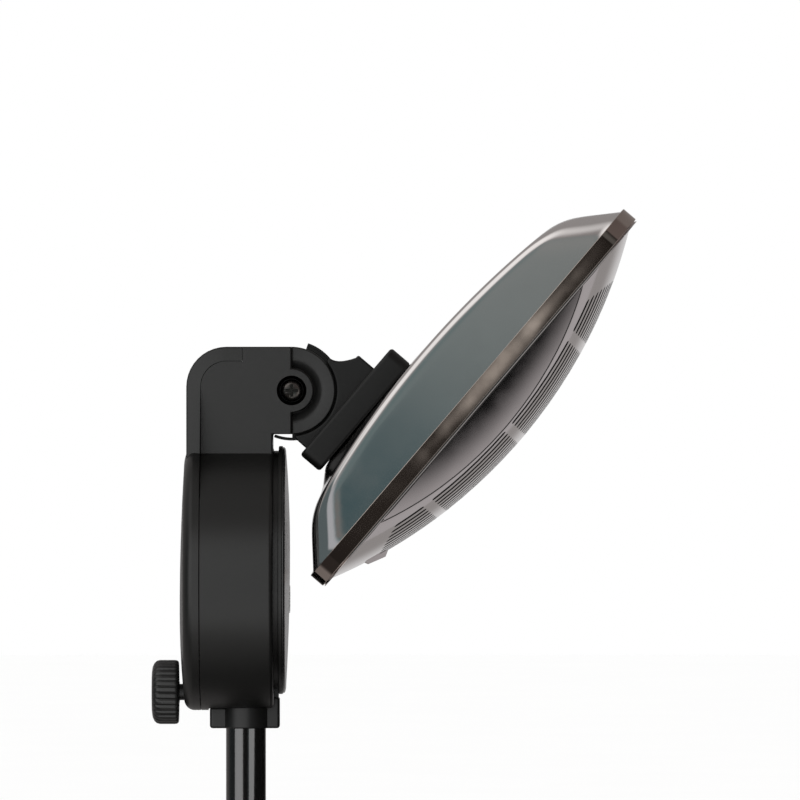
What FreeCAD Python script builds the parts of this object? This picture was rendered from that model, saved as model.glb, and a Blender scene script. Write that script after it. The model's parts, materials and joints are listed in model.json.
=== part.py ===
"""Standing infrared patio heater: weighted base, telescopic pole, swivelling control housing, tilting head.

Millimetres and degrees. +Z is up, +X is the way the heater faces, and the origin is on the floor, on the
pole's axis. The head's pieces are drawn upright about the tilt hinge, then turned to the stored tilt.
"""
import FreeCAD
import Part
import Sketcher
import math
import os
import re

# Driving sizes
SIZES = {
    # clearances and small fasteners
    "fit_clearance": 0.05,
    "seat_gap": 0.2,
    "thread_gap": 0.05,
    "small_screw_radius": 1.7,
    "small_head_radius": 3.4,
    "small_head_height": 2.2,
    "small_screw_bite": 10,
    # base
    "mat_height": 6,
    "mat_inset": 4,
    "weight_height": 16,
    "weight_side_gap": 1,
    "weight_bore": 18,
    "base_radius": 235,
    "base_sheet": 1.5,
    "base_edge_round": 12,
    "base_edge_gap": 3,
    "flange_radius": 55,
    "flange_height": 6,
    "flange_floor": 4,
    "flange_socket_wall": 4.5,
    "flange_socket_height": 52,
    "base_bolt_circle": 40,
    "base_bolt_radius": 4,
    "base_bolt_bite": 12,
    "bolt_head_radius": 6.5,
    "bolt_head_height": 5,
    "socket_screw_rise": 30,
    "socket_screw_radius": 3,
    # telescopic pole
    "lower_pole_radius": 17.5,
    "lower_pole_wall": 2,
    "lower_pole_length": 727.5,
    "pole_radius": 14,
    "pole_wall": 1.5,
    "pole_length": 880,
    "pole_plug_depth": 18,
    "pole_plug_head": 3,
    "bush_length": 30,
    "clamp_radius": 24,
    "clamp_height": 60,
    "clamp_overlap": 25,
    "clamp_screw_rise": 42,
    "clamp_boss_radius": 11,
    "clamp_boss_reach": 36,
    "bush_gap": 27.5,
    # clamp knobs
    "knob_radius": 22.4,
    "knob_width": 18.9,
    "knob_round": 5,
    "knob_wall": 3.6,
    "knob_hollow": 9,
    "knob_hub_radius": 8,
    "knob_boss_radius": 5.25,
    "knob_boss_length": 5.6,
    "knob_grip": 13,
    "knob_gap": 0.7,
    "flute_radius": 1.5,
    "stud_radius": 4,
    "stud_pad_gap": 0.1,
    "pad_radius": 3.6,
    "pad_length": 2.6,
    "pad_gap": 0.3,
    # control housing
    "housing_wall": 3,
    "drum_radius": 92.4,
    "drum_rise": 12.6,
    "drum_back": 46.2,
    "drum_front": 19.6,
    "drum_edge_round": 3,
    "rear_dome_rise": 5.8,
    "cover_screw_circle": 77,
    "screw_boss_radius": 4.5,
    "stud_hole_gap": 0.9,
    "knob_rise": 25.2,
    "collar_back": 25.2,
    "collar_front": 23.7,
    "collar_half_width": 17,
    "collar_height": 14,
    "collar_corner": 5,
    "sleeve_wall": 2.2,
    "sleeve_cap": 4,
    "socket_depth": 68,
    "insert_radius": 6,
    "insert_wall": 3,
    "insert_reach": 30,
    "ear_half_width": 32,
    "ear_height": 14,
    "ear_depth": 5,
    "ear_screw_half_gap": 26,
    # front of the housing
    "cover_radius": 86.8,
    "cover_rise": 5.6,
    "bezel_gap": 3.5,
    "bezel_inset": 3.8,
    "bezel_width": 2.8,
    "bezel_wall": 5,
    "cover_inset": 0.8,
    "cover_edge": 1,
    "cover_dome_rise": 3.9,
    "button_radius": 10,
    "button_gap": 0.3,
    "button_drop": 20.3,
    "button_proud": 0.2,
    "button_lip": 1.5,
    "button_stem_radius": 3,
    "button_travel": 2,
    "switch_half_width": 6,
    "switch_depth": 9.4,
    "switch_hole_radius": 9,
    "stem_bite": 4,
    "board_thickness": 1.6,
    "board_standoff": 11,
    "board_half_width": 40,
    "board_height": 72,
    "board_edge": 5,
    "post_radius": 3.5,
    "terminal_depth": 14,
    "tip_switch_size": 18,
    "gland_radius": 9,
    "gland_length": 12,
    "gland_thread_radius": 7,
    "gland_bore": 4,
    # arm and tilt hinge
    "arm_back": 41.3,
    "arm_inset": 0.7,
    "arm_half_width": 30,
    "arm_corner": 28,
    "seam_inset": 10,
    "seam_top_back": 2.1,
    "hinge_x": 32.2,
    "hinge_rise": 38.85,
    "hinge_boss_radius": 30.5,
    "fork_gap": 1.5,
    "recess_radius": 10,
    "recess_depth": 8,
    "groove_inner": 15.4,
    "groove_outer": 23.8,
    "groove_depth": 2,
    "hinge_bolt_radius": 4,
    "hinge_head_radius": 8,
    "hinge_head_height": 5,
    "hinge_cross_width": 1.6,
    "hinge_cross_length": 8,
    "hinge_cross_depth": 2.2,
    "hinge_washer": 1.6,
    "hinge_nut_radius": 7.5,
    "hinge_nut_height": 6,
    "friction_radius": 14,
    "friction_gap": 0.15,
    "friction_thickness": 1,
    "knuckle_radius": 26,
    "knuckle_half_width": 12.7,
    "shield_radius": 35,
    "shield_wall": 2,
    "shield_low": 70.5,
    "shield_high": 111.5,
    "tilt_rest": 40.5,
    # tilt bracket
    "neck_half_width": 26,
    "neck_gap": 0.8,
    "neck_top": 49,
    "neck_step_back": 19.25,
    "neck_foot": 27.3,
    "neck_foot_out": 24.6,
    "neck_root": 6,
    "plate_low": 30.1,
    "plate_high": 67.9,
    "plate_gap": 3.1,
    "plate_thickness": 17.9,
    "plate_half_width": 42,
    "plate_corner": 10,
    "plate_screw_inset": 14,
    # heater head
    "rim_up": 78.3,
    "rim_half_length": 166.6,
    "rim_half_width": 121.5,
    "rim_corner": 26,
    "rim_back": 3.5,
    "rim_front": 7.7,
    "rim_section": 8.6,
    "dish_inset": 2.8,
    "dish_depth": 45.5,
    "dish_sheet": 1.2,
    "dish_arch_radius": 655,
    "dish_end_angle": 42.7,
    "dish_side_draft": 6,
    "dish_side_round": 15,
    "dish_pad_inset": 1.4,
    "dish_pad_margin": 4,
    "grille_sheet": 1.4,
    "grille_rise": 38,
    "grille_border": 5.6,
    "facet_border": 2.5,
    "facet_angle": 52.2,
    "slot_pitch": 9,
    "slot_width": 3,
    "slot_reach": 125,
    "slot_end_radius": 200,
    "slot_field_half_width": 96.5,
    "bar_spacing": 76,
    "bar_width": 7,
    "plain_plate_low": 131,
    "plain_plate_length": 16,
    "plain_plate_half_width": 14,
    "plain_plate_proud": 2.5,
    "rim_screw_half_gap": 60,
    "rim_screw_radius": 1.5,
    "rim_screw_head": 3,
    # heating tubes
    "reflector_depth": 20,
    "reflector_sheet": 1,
    "reflector_gap": 4,
    "reflector_lap": 1.5,
    "tube_radius": 5.5,
    "tube_wall": 1,
    "tube_end_inset": 58.6,
    "tube_spacing": 50,
    "tube_end_radius": 7,
    "tube_end_length": 16,
    "tube_end_bite": 4,
    "tube_bracket_sheet": 1.5,
    "tube_bracket_margin": 14,
    "tube_bracket_rise": 9,
    "filament_radius": 1.2,
}

# Counts
BASE_BOLTS = 4
COVER_SCREWS = 4
KNOB_FLUTES = 22
HEATING_TUBES = 3

# Round a circle, the first bolt or screw is on the diagonal
FIRST_TURN = 45

# The block that cuts the dome's side facets is drawn past the dome's crown, as a share of its rise
FACET_BLOCK_RISE = 1.5

doc = FreeCAD.newDocument("PatioHeater")
sheet = doc.addObject("Spreadsheet::Sheet", "Sizes")
for row, (alias, value) in enumerate(SIZES.items(), start=1):
    sheet.set(f"A{row}", alias)
    sheet.set(f"B{row}", str(value))
    sheet.setAlias(f"B{row}", alias)
doc.recompute()

pieces = []


# Expressions

def cells(text):
    """Writes every size's name in an expression as its cell in the sheet."""
    def cell(word):
        return f"Sizes.{word[0]}" if word[0] in SIZES else word[0]

    return re.sub(r"[a-z][a-z_]+", cell, str(text))


def number(text):
    """The value of an expression now."""
    result = sheet.evalExpression(cells(text))
    return float(getattr(result, "Value", result))


def bind(thing, name, text):
    thing.setExpression(name, cells(text))


# Places that several pieces share, measured from the floor and from the pole's axis

WEIGHT_TOP = "(mat_height + weight_height)"
WEIGHT_RADIUS = "(base_radius - base_edge_round - weight_side_gap)"
COVER_TOP = f"({WEIGHT_TOP} + base_sheet)"
FLANGE_TOP = f"({COVER_TOP} + flange_height)"
POLE_SEAT = f"({COVER_TOP} + flange_floor)"
LOWER_SOCKET = "(lower_pole_radius + fit_clearance)"
LOWER_POLE_TOP = f"({POLE_SEAT} + lower_pole_length)"
CLAMP_BOTTOM = f"({LOWER_POLE_TOP} - clamp_overlap)"
CLAMP_TOP = f"({CLAMP_BOTTOM} + clamp_height)"
HEIGHT_SCREW_Z = f"({CLAMP_BOTTOM} + clamp_screw_rise)"
POLE_HOLE = "(pole_radius + fit_clearance)"
STUD_HOLE = "(stud_radius + thread_gap)"
SCREW_HOLE = "(small_screw_radius + thread_gap)"
HINGE_HOLE = "(hinge_bolt_radius + fit_clearance)"
POLE_BOTTOM = f"({POLE_SEAT} + bush_gap + bush_length)"
POLE_TOP = f"({POLE_BOTTOM} + pole_length)"
COLLAR_Z = f"({POLE_TOP} + pole_plug_head - socket_depth)"
KNOB_Z = f"({COLLAR_Z} + knob_rise)"
DRUM_Z = f"({COLLAR_Z} + drum_rise + drum_radius)"
COVER_Z = f"({DRUM_Z} + cover_rise)"
HINGE_Z = f"({COVER_Z} + cover_radius + hinge_rise)"
ARM_TOP = f"({HINGE_Z} + hinge_boss_radius)"
FORK_REACH = "(shield_radius + fork_gap)"
FORK_HALF_GAP = "(knuckle_half_width + 2 * friction_gap + friction_thickness)"
SEAM_X = "(seam_inset - arm_back)"
ARM_FRONT_X = "(drum_front - arm_inset)"
REAR_EDGE_X = "(rear_dome_rise - drum_back)"
FRONT_WALL_X = "(drum_front - housing_wall)"
SLEEVE_RADIUS = f"({POLE_HOLE} + sleeve_wall)"
SLEEVE_TOP = f"({COLLAR_Z} + socket_depth + sleeve_cap)"
BEZEL_FRONT_X = "(drum_front + bezel_gap + bezel_width)"
COVER_CROWN_X = f"({BEZEL_FRONT_X} + cover_edge + cover_dome_rise)"
BUTTON_Z = f"({COVER_Z} - button_drop)"
BOARD_X = f"({FRONT_WALL_X} - board_standoff)"
BOARD_LOW = f"({SLEEVE_TOP} + board_edge)"
EAR_SCREW_Z = f"({SLEEVE_TOP} - ear_height)"
EAR_SCREWS_Y = ("ear_screw_half_gap", "-ear_screw_half_gap")
TUBE_HALF_LENGTH = "(rim_half_length - tube_end_inset)"
PLATE_BACK = "(hinge_boss_radius + plate_gap)"
DISH_BACK_X = f"({PLATE_BACK} + plate_thickness)"
RIM_X = f"({DISH_BACK_X} + dish_depth)"
RIM_BACK_X = f"({RIM_X} - rim_back)"
RIM_FRONT_X = f"({RIM_X} + rim_front)"
LAND_X = f"({RIM_FRONT_X} + grille_sheet)"
DISH_HALF_LENGTH = "(rim_half_length - dish_inset)"
DISH_HALF_WIDTH = "(rim_half_width - dish_inset)"
DOME_HALF_CHORD = "(rim_half_length - grille_border)"
DOME_RADIUS = f"(({DOME_HALF_CHORD}^2 + grille_rise^2) / (2 * grille_rise))"
DOME_CENTRE_X = f"({LAND_X} + grille_rise - {DOME_RADIUS})"

TURNS = {
    "X": FreeCAD.Rotation(FreeCAD.Vector(0, 1, 0), 90),
    "Y": FreeCAD.Rotation(FreeCAD.Vector(1, 0, 0), -90),
    "Z": FreeCAD.Rotation(),
}


# Solids

def place(thing, start, axis="Z"):
    """Moves a solid to start and points its own Z along axis."""
    thing.Placement = FreeCAD.Placement(FreeCAD.Vector(), TURNS[axis])
    for letter, value in zip("xyz", start):
        bind(thing, f"Placement.Base.{letter}", value)
    return thing


def cylinder(name, radius, start, length, axis="Z"):
    solid = doc.addObject("Part::Cylinder", name)
    bind(solid, "Radius", radius)
    bind(solid, "Height", length)
    return place(solid, start, axis)


def across(name, radius, x, z, half_width):
    """A cylinder along Y, centred on the middle plane."""
    return cylinder(name, radius, (x, f"-({half_width})", z), f"2 * ({half_width})", "Y")


def box(name, low, high):
    solid = doc.addObject("Part::Box", name)
    for side, start, end in zip(("Length", "Width", "Height"), low, high):
        bind(solid, side, f"({end}) - ({start})")
    return place(solid, low)


def ball(name, radius, centre):
    solid = doc.addObject("Part::Sphere", name)
    bind(solid, "Radius", radius)
    return place(solid, centre)


def fuse(name, *solids):
    whole = doc.addObject("Part::MultiFuse", name)
    whole.Shapes = list(solids)
    whole.Refine = True
    return whole


def common(name, *solids):
    shared = doc.addObject("Part::MultiCommon", name)
    shared.Shapes = list(solids)
    return shared


def group(name, *solids):
    """Separate solids that share one node."""
    kept = doc.addObject("Part::Compound", name)
    kept.Links = list(solids)
    return kept


def cut(name, base, *tools):
    rest = doc.addObject("Part::Cut", name)
    rest.Base = base
    rest.Tool = tools[0] if len(tools) == 1 else group(f"{name}_tools", *tools)
    return rest


def tube(name, outer, inner, start, length, axis="Z"):
    return cut(name, cylinder(f"{name}_outside", outer, start, length, axis),
               cylinder(f"{name}_bore", inner, start, length, axis))


# Sketched solids

def sketch_on(body, role, offset=0):
    """An empty sketch on one of the body's own planes, moved along the plane's normal."""
    drawing = body.newObject("Sketcher::SketchObject", f"{body.Name}_sketch")
    plane = next(feature for feature in body.Origin.OriginFeatures if feature.Role == role)
    drawing.AttachmentSupport = [(plane, "")]
    drawing.MapMode = "FlatFace"
    bind(drawing, "AttachmentOffset.Base.z", offset)
    return drawing


def pin_point(drawing, element, position, corner):
    """Holds a point of the sketch at a corner's coordinates."""
    for kind, text in zip(("DistanceX", "DistanceY"), corner):
        index = drawing.addConstraint(Sketcher.Constraint(kind, element, position, number(text)))
        bind(drawing, f"Constraints[{index}]", text)


def outline(drawing, corners):
    """Draws a closed outline. A corner is (x, y), or (x, y, radius) where it is rounded."""
    points = [FreeCAD.Vector(number(corner[0]), number(corner[1]), 0) for corner in corners]
    leave = []
    meet = []
    arcs = []
    for index, corner in enumerate(corners):
        point = points[index]
        if len(corner) == 2:
            leave.append(point)
            meet.append(point)
            arcs.append(None)
            continue
        radius = number(corner[2])
        back = (points[index - 1] - point).normalize()
        ahead = (points[(index + 1) % len(points)] - point).normalize()
        half_angle = back.getAngle(ahead) / 2
        run = radius / math.tan(half_angle)
        middle = point + (back + ahead).normalize() * (radius / math.sin(half_angle))
        meet.append(point + back * run)
        leave.append(point + ahead * run)
        left_turn = back.cross(ahead).z < 0
        first, last = (meet[-1], leave[-1]) if left_turn else (leave[-1], meet[-1])
        start_angle = math.atan2(first.y - middle.y, first.x - middle.x)
        end_angle = math.atan2(last.y - middle.y, last.x - middle.x)
        circle = Part.Circle(middle, FreeCAD.Vector(0, 0, 1), radius)
        arcs.append((Part.ArcOfCircle(circle, start_angle, end_angle), left_turn))
    count = len(corners)
    lines = [drawing.addGeometry(Part.LineSegment(leave[i], meet[(i + 1) % count])) for i in range(count)]
    for index, corner in enumerate(corners):
        before = lines[index - 1]
        after = lines[index]
        if arcs[index] is None:
            drawing.addConstraint(Sketcher.Constraint("Coincident", before, 2, after, 1))
            pin_point(drawing, after, 1, corner)
            continue
        arc, left_turn = arcs[index]
        bend = drawing.addGeometry(arc)
        first, last = (1, 2) if left_turn else (2, 1)
        drawing.addConstraint(Sketcher.Constraint("Tangent", before, 2, bend, first))
        drawing.addConstraint(Sketcher.Constraint("Tangent", bend, last, after, 1))
        size = drawing.addConstraint(Sketcher.Constraint("Radius", bend, number(corner[2])))
        bind(drawing, f"Constraints[{size}]", corner[2])
        apex = drawing.addGeometry(Part.Point(points[index]), True)
        drawing.addConstraint(Sketcher.Constraint("PointOnObject", apex, 1, before))
        drawing.addConstraint(Sketcher.Constraint("PointOnObject", apex, 1, after))
        pin_point(drawing, apex, 1, corner)


def prism(name, role, corners, length, offset=0, symmetric=False, draft=0, backwards=False):
    """An outline on one of the three planes, padded along the plane's normal."""
    body = doc.addObject("PartDesign::Body", name)
    drawing = sketch_on(body, role, offset)
    outline(drawing, corners)
    pad = body.newObject("PartDesign::Pad", f"{name}_pad")
    pad.Profile = drawing
    bind(pad, "Length", length)
    pad.SideType = "Symmetric" if symmetric else "One side"
    pad.Reversed = backwards
    if draft:
        bind(pad, "TaperAngle", draft)
    return body


def side_prism(name, corners, half_width):
    """An outline in the side view, (x, z), as wide as twice half_width."""
    return prism(name, "XZ_Plane", corners, f"2 * ({half_width})", symmetric=True)


def turned(name, axis, corners, start=(0, 0, 0)):
    """An outline turned about X, its corners (x, radius), or about Z, its corners (radius, z)."""
    body = doc.addObject("PartDesign::Body", name)
    drawing = sketch_on(body, "XZ_Plane")
    outline(drawing, corners)
    lathe = body.newObject("PartDesign::Revolution", f"{name}_turned")
    lathe.Profile = drawing
    lathe.ReferenceAxis = (drawing, ["H_Axis" if axis == "X" else "V_Axis"])
    lathe.Angle = 360
    return place(body, start)


def domed_disc(name, base_x, edge_x, crown_x, radius, start):
    """A disc about X with one flat face, at base_x, and one domed face that crowns at crown_x."""
    body = doc.addObject("PartDesign::Body", name)
    drawing = sketch_on(body, "XZ_Plane")
    corners = [(crown_x, 0), (base_x, 0), (base_x, radius), (edge_x, radius)]
    points = [FreeCAD.Vector(number(x), number(y), 0) for x, y in corners]
    lines = [drawing.addGeometry(Part.LineSegment(points[i], points[i + 1])) for i in range(3)]
    rise = points[0].x - points[3].x
    dome_radius = (rise ** 2 + points[3].y ** 2) / (2 * abs(rise))
    middle = FreeCAD.Vector(points[0].x - math.copysign(dome_radius, rise), 0, 0)
    half_angle = math.asin(points[3].y / dome_radius)
    crown_angle = 0 if rise > 0 else math.pi
    first, last = sorted((crown_angle, crown_angle + math.copysign(half_angle, rise)))
    circle = Part.Circle(middle, FreeCAD.Vector(0, 0, 1), dome_radius)
    arc = drawing.addGeometry(Part.ArcOfCircle(circle, first, last))
    edge_end, crown_end = (2, 1) if rise > 0 else (1, 2)
    for before, after in zip(lines, lines[1:]):
        drawing.addConstraint(Sketcher.Constraint("Coincident", before, 2, after, 1))
    drawing.addConstraint(Sketcher.Constraint("Coincident", lines[2], 2, arc, edge_end))
    drawing.addConstraint(Sketcher.Constraint("Coincident", lines[0], 1, arc, crown_end))
    for line, corner in zip(lines, corners):
        pin_point(drawing, line, 1, corner)
    pin_point(drawing, lines[2], 2, corners[3])
    horizontal_axis = -1
    drawing.addConstraint(Sketcher.Constraint("PointOnObject", arc, 3, horizontal_axis))
    lathe = body.newObject("PartDesign::Revolution", f"{name}_turned")
    lathe.Profile = drawing
    lathe.ReferenceAxis = (drawing, ["H_Axis"])
    lathe.Angle = 360
    return place(body, start)


def rectangle(half_width, half_length, corner, centre="0"):
    """A rounded rectangle's corners, its second axis centred on centre."""
    return [
        (f"{across_sign}({half_width})", f"{centre} {along_sign} ({half_length})", corner)
        for across_sign, along_sign in (("", "-"), ("", "+"), ("-", "+"), ("-", "-"))
    ]


def slab(name, half_width, half_length, corner, back, front):
    """A rounded rectangle facing along X, centred on the head's rim."""
    corners = rectangle(half_width, half_length, corner, "rim_up")
    return prism(name, "YZ_Plane", corners, f"({front}) - ({back})", offset=back)


def screw(name, start, axis, shank, bite, head, head_height):
    """A screw whose head stands on start and whose shank runs back along minus axis."""
    shift = {"X": (1, 0, 0), "Y": (0, 1, 0), "Z": (0, 0, 1)}[axis]
    tip = [f"({value}) - ({bite}) * {step}" for value, step in zip(start, shift)]
    return fuse(name, cylinder(f"{name}_head", head, start, head_height, axis),
                cylinder(f"{name}_shank", shank, tip, bite, axis))


def back_screw(name, start, shank, bite, head, head_height):
    """A screw driven from behind: its head stands behind start and its shank runs ahead along X."""
    x, y, z = start
    return fuse(name, cylinder(f"{name}_head", head, (f"{x} - {head_height}", y, z), head_height, "X"),
                cylinder(f"{name}_shank", shank, start, bite, "X"))


def ring_places(count, radius):
    """Places round a circle, as two expressions each."""
    for step in range(count):
        angle = FIRST_TURN + 360 / count * step
        yield f"{radius} * cos({angle})", f"{radius} * sin({angle})"


def piece(label, solid):
    """Names a finished sub-part."""
    solid.Label = label
    pieces.append(solid)
    return solid


def on_head(label, solid):
    """Names a sub-part of the head, and turns it about the hinge to its stored tilt."""
    start = f"create(<<vector>>; hinge_x; 0; {HINGE_Z})"
    turn = "create(<<rotation>>; create(<<vector>>; 0; 1; 0); tilt_rest)"
    bind(solid, "Placement", f"create(<<placement>>; {start}; {turn})")
    return piece(label, solid)


# Base

def build_base():
    mat_radius = f"{WEIGHT_RADIUS} - mat_inset"
    piece("base_mat", tube("mat", mat_radius, "weight_bore", (0, 0, 0), "mat_height"))

    bolt_places = list(ring_places(BASE_BOLTS, "base_bolt_circle"))
    bolt_hole = "base_bolt_radius + thread_gap"

    def bolt_holes(name, bottom, top):
        depth = f"({top}) - ({bottom})"
        return [cylinder(name, bolt_hole, (x, y, bottom), depth) for x, y in bolt_places]

    disc = cylinder("disc", WEIGHT_RADIUS, (0, 0, "mat_height"), "weight_height")
    middle = cylinder("disc_bore", "weight_bore", (0, 0, "mat_height"), "weight_height")
    weight_holes = bolt_holes("weight_hole", "mat_height", WEIGHT_TOP)
    piece("base_weight", cut("weight", disc, middle, *weight_holes))

    inner_radius = "base_radius - base_sheet"
    pressing = turned("pressing", "Z", [
        ("weight_bore", WEIGHT_TOP),
        (inner_radius, WEIGHT_TOP, "base_edge_round - base_sheet"),
        (inner_radius, "base_edge_gap"),
        ("base_radius", "base_edge_gap"),
        ("base_radius", COVER_TOP, "base_edge_round"),
        ("weight_bore", COVER_TOP),
    ])
    cover_holes = bolt_holes("cover_hole", WEIGHT_TOP, COVER_TOP)
    piece("base_cover", cut("cover_sheet", pressing, *cover_holes))

    socket_radius = f"({LOWER_SOCKET} + flange_socket_wall)"
    socket_top = f"({FLANGE_TOP} + flange_socket_height)"
    casting = turned("casting", "Z", [
        (0, COVER_TOP),
        ("flange_radius", COVER_TOP),
        ("flange_radius", FLANGE_TOP, "base_sheet"),
        (socket_radius, FLANGE_TOP, "flange_floor"),
        (socket_radius, socket_top, "base_sheet"),
        (LOWER_SOCKET, socket_top),
        (LOWER_SOCKET, POLE_SEAT),
        (0, POLE_SEAT),
    ])
    screw_z = f"({FLANGE_TOP} + socket_screw_rise)"
    screw_hole = cylinder("grub_hole", "socket_screw_radius + thread_gap",
                          (f"-{socket_radius}", 0, screw_z), socket_radius, "X")
    flange_holes = bolt_holes("flange_hole", COVER_TOP, FLANGE_TOP)
    piece("base_flange", cut("flange", casting, screw_hole, *flange_holes))

    bolt_bite = "flange_height + base_sheet + base_bolt_bite"
    piece("base_bolts", group("bolts", *[
        screw("bolt", (x, y, FLANGE_TOP), "Z", "base_bolt_radius", bolt_bite,
              "bolt_head_radius", "bolt_head_height")
        for x, y in bolt_places
    ]))
    piece("socket_screw", cylinder("grub", "socket_screw_radius", (f"-{socket_radius}", 0, screw_z),
                                   f"{socket_radius} - lower_pole_radius", "X"))


# Telescopic pole

def build_pole():
    lower_bore = "(lower_pole_radius - lower_pole_wall)"
    piece("lower_pole", tube("lower_tube", "lower_pole_radius", lower_bore, (0, 0, POLE_SEAT),
                             "lower_pole_length"))

    clamp_body = cylinder("clamp_body", "clamp_radius", (0, 0, CLAMP_BOTTOM), "clamp_height")
    boss_end = ("-clamp_boss_reach", 0, HEIGHT_SCREW_Z)
    clamp_boss = cylinder("clamp_boss", "clamp_boss_radius", boss_end, "clamp_boss_reach", "X")
    piece("pole_clamp", cut(
        "clamp", fuse("clamp_solid", clamp_body, clamp_boss),
        cylinder("clamp_lower_bore", LOWER_SOCKET, (0, 0, CLAMP_BOTTOM), "clamp_overlap"),
        cylinder("clamp_bore", POLE_HOLE, (0, 0, CLAMP_BOTTOM), "clamp_height"),
        cylinder("clamp_thread", STUD_HOLE, boss_end, "clamp_boss_reach", "X"),
    ))

    pole_bore = "(pole_radius - pole_wall)"
    piece("upper_pole", tube("upper_tube", "pole_radius", pole_bore, (0, 0, POLE_BOTTOM), "pole_length"))
    plug_radius = f"({pole_bore} - fit_clearance)"
    piece("pole_cap", fuse(
        "cap",
        cylinder("cap_head", "pole_radius", (0, 0, POLE_TOP), "pole_plug_head - seat_gap"),
        cylinder("cap_plug", plug_radius, (0, 0, f"{POLE_TOP} - pole_plug_depth"), "pole_plug_depth"),
    ))
    bush_radius = f"{lower_bore} - fit_clearance"
    piece("slide_bush", fuse(
        "bush",
        cylinder("bush_head", bush_radius, (0, 0, f"{POLE_BOTTOM} - bush_length"), "bush_length"),
        cylinder("bush_plug", plug_radius, (0, 0, POLE_BOTTOM), "pole_plug_depth"),
    ))


# Clamp knobs

def build_knob(name, face_x, axis_z):
    """A fluted knob, its stud and the pad that bears on the pole, on an axis along X behind the pole."""
    outer_face = f"({face_x} - knob_width)"
    inner_radius = "knob_radius - knob_wall"
    hollow_x = f"{face_x} - knob_hollow"
    boss_x = f"{face_x} + knob_boss_length"
    grip_x = f"({face_x} - knob_grip)"
    body = turned(f"{name}_body", "X", [
        (outer_face, 0),
        (outer_face, "knob_radius", "knob_round"),
        (face_x, "knob_radius", "knob_wall / 3"),
        (face_x, inner_radius),
        (hollow_x, inner_radius),
        (hollow_x, "knob_hub_radius"),
        (face_x, "knob_hub_radius"),
        (face_x, "knob_boss_radius"),
        (boss_x, "knob_boss_radius"),
        (boss_x, STUD_HOLE),
        (grip_x, STUD_HOLE),
        (grip_x, 0),
    ], (0, 0, axis_z))
    drawing = sketch_on(body, "YZ_Plane")
    rim_point = FreeCAD.Vector(0, number("knob_radius"), 0)
    circle = Part.Circle(rim_point, FreeCAD.Vector(0, 0, 1), number("flute_radius"))
    groove = drawing.addGeometry(circle)
    pin_point(drawing, groove, 3, (0, "knob_radius"))
    size = drawing.addConstraint(Sketcher.Constraint("Radius", groove, number("flute_radius")))
    bind(drawing, f"Constraints[{size}]", "flute_radius")
    flute = body.newObject("PartDesign::Pocket", f"{name}_flute")
    flute.Profile = drawing
    flute.Type = "ThroughAll"
    flute.SideType = "Symmetric"
    flutes = body.newObject("PartDesign::PolarPattern", f"{name}_flutes")
    flutes.Originals = [flute]
    spin = next(feature for feature in body.Origin.OriginFeatures if feature.Role == "X_Axis")
    flutes.Axis = (spin, [""])
    flutes.Angle = 360
    flutes.Occurrences = KNOB_FLUTES
    body.Tip = flutes
    piece(f"{name}_knob", body)

    pad_face = "(-pole_radius - pad_gap)"
    pad_back = f"({pad_face} - pad_length)"
    stud_end = f"({pad_back} - stud_pad_gap)"
    rod_length = f"{stud_end} - {grip_x}"
    piece(f"{name}_stud", cylinder(f"{name}_rod", "stud_radius", (grip_x, 0, axis_z), rod_length, "X"))
    piece(f"{name}_pad", cylinder(f"{name}_tip", "pad_radius", (pad_back, 0, axis_z), "pad_length", "X"))


# Control housing

def arm_side():
    """The arm in the side view, without the band that belongs to the rear cover."""
    band_z = f"{ARM_TOP} - seam_inset"
    return [
        (SEAM_X, DRUM_Z),
        (SEAM_X, band_z, "arm_corner - seam_inset"),
        ("-seam_top_back", band_z),
        ("-seam_top_back", ARM_TOP),
        ("hinge_x", ARM_TOP),
        ("hinge_x", f"{HINGE_Z} - hinge_boss_radius"),
        (ARM_FRONT_X, f"{HINGE_Z} - hinge_boss_radius"),
        (ARM_FRONT_X, DRUM_Z),
    ]


def cheek_cuts():
    """Screw recess and half-round groove on the outside of both cheeks of the hinge."""
    tools = []
    sides = [
        ("arm_half_width - recess_depth", "arm_half_width - groove_depth"),
        ("-arm_half_width", "-arm_half_width"),
    ]
    for recess_y, groove_y in sides:
        recess_start = ("hinge_x", recess_y, HINGE_Z)
        tools.append(cylinder("recess", "recess_radius", recess_start, "recess_depth", "Y"))
        groove_start = ("hinge_x", groove_y, HINGE_Z)
        ring = tube("groove_ring", "groove_outer", "groove_inner", groove_start, "groove_depth", "Y")
        front = box("groove_half", ("hinge_x", groove_y, f"{HINGE_Z} - groove_outer"),
                    ("hinge_x + groove_outer", f"{groove_y} + groove_depth", f"{HINGE_Z} + groove_outer"))
        tools.append(common("groove", ring, front))
    return tools


def board_corners():
    """Where the control board's screws are."""
    for y in ("(board_half_width - board_edge)", "(board_edge - board_half_width)"):
        for z in (f"({BOARD_LOW} + board_edge)", f"({BOARD_LOW} + board_height - board_edge)"):
            yield y, z


def cover_screw_places():
    for y, z in ring_places(COVER_SCREWS, "cover_screw_circle"):
        yield y, f"({DRUM_Z} + {z})"


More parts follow.
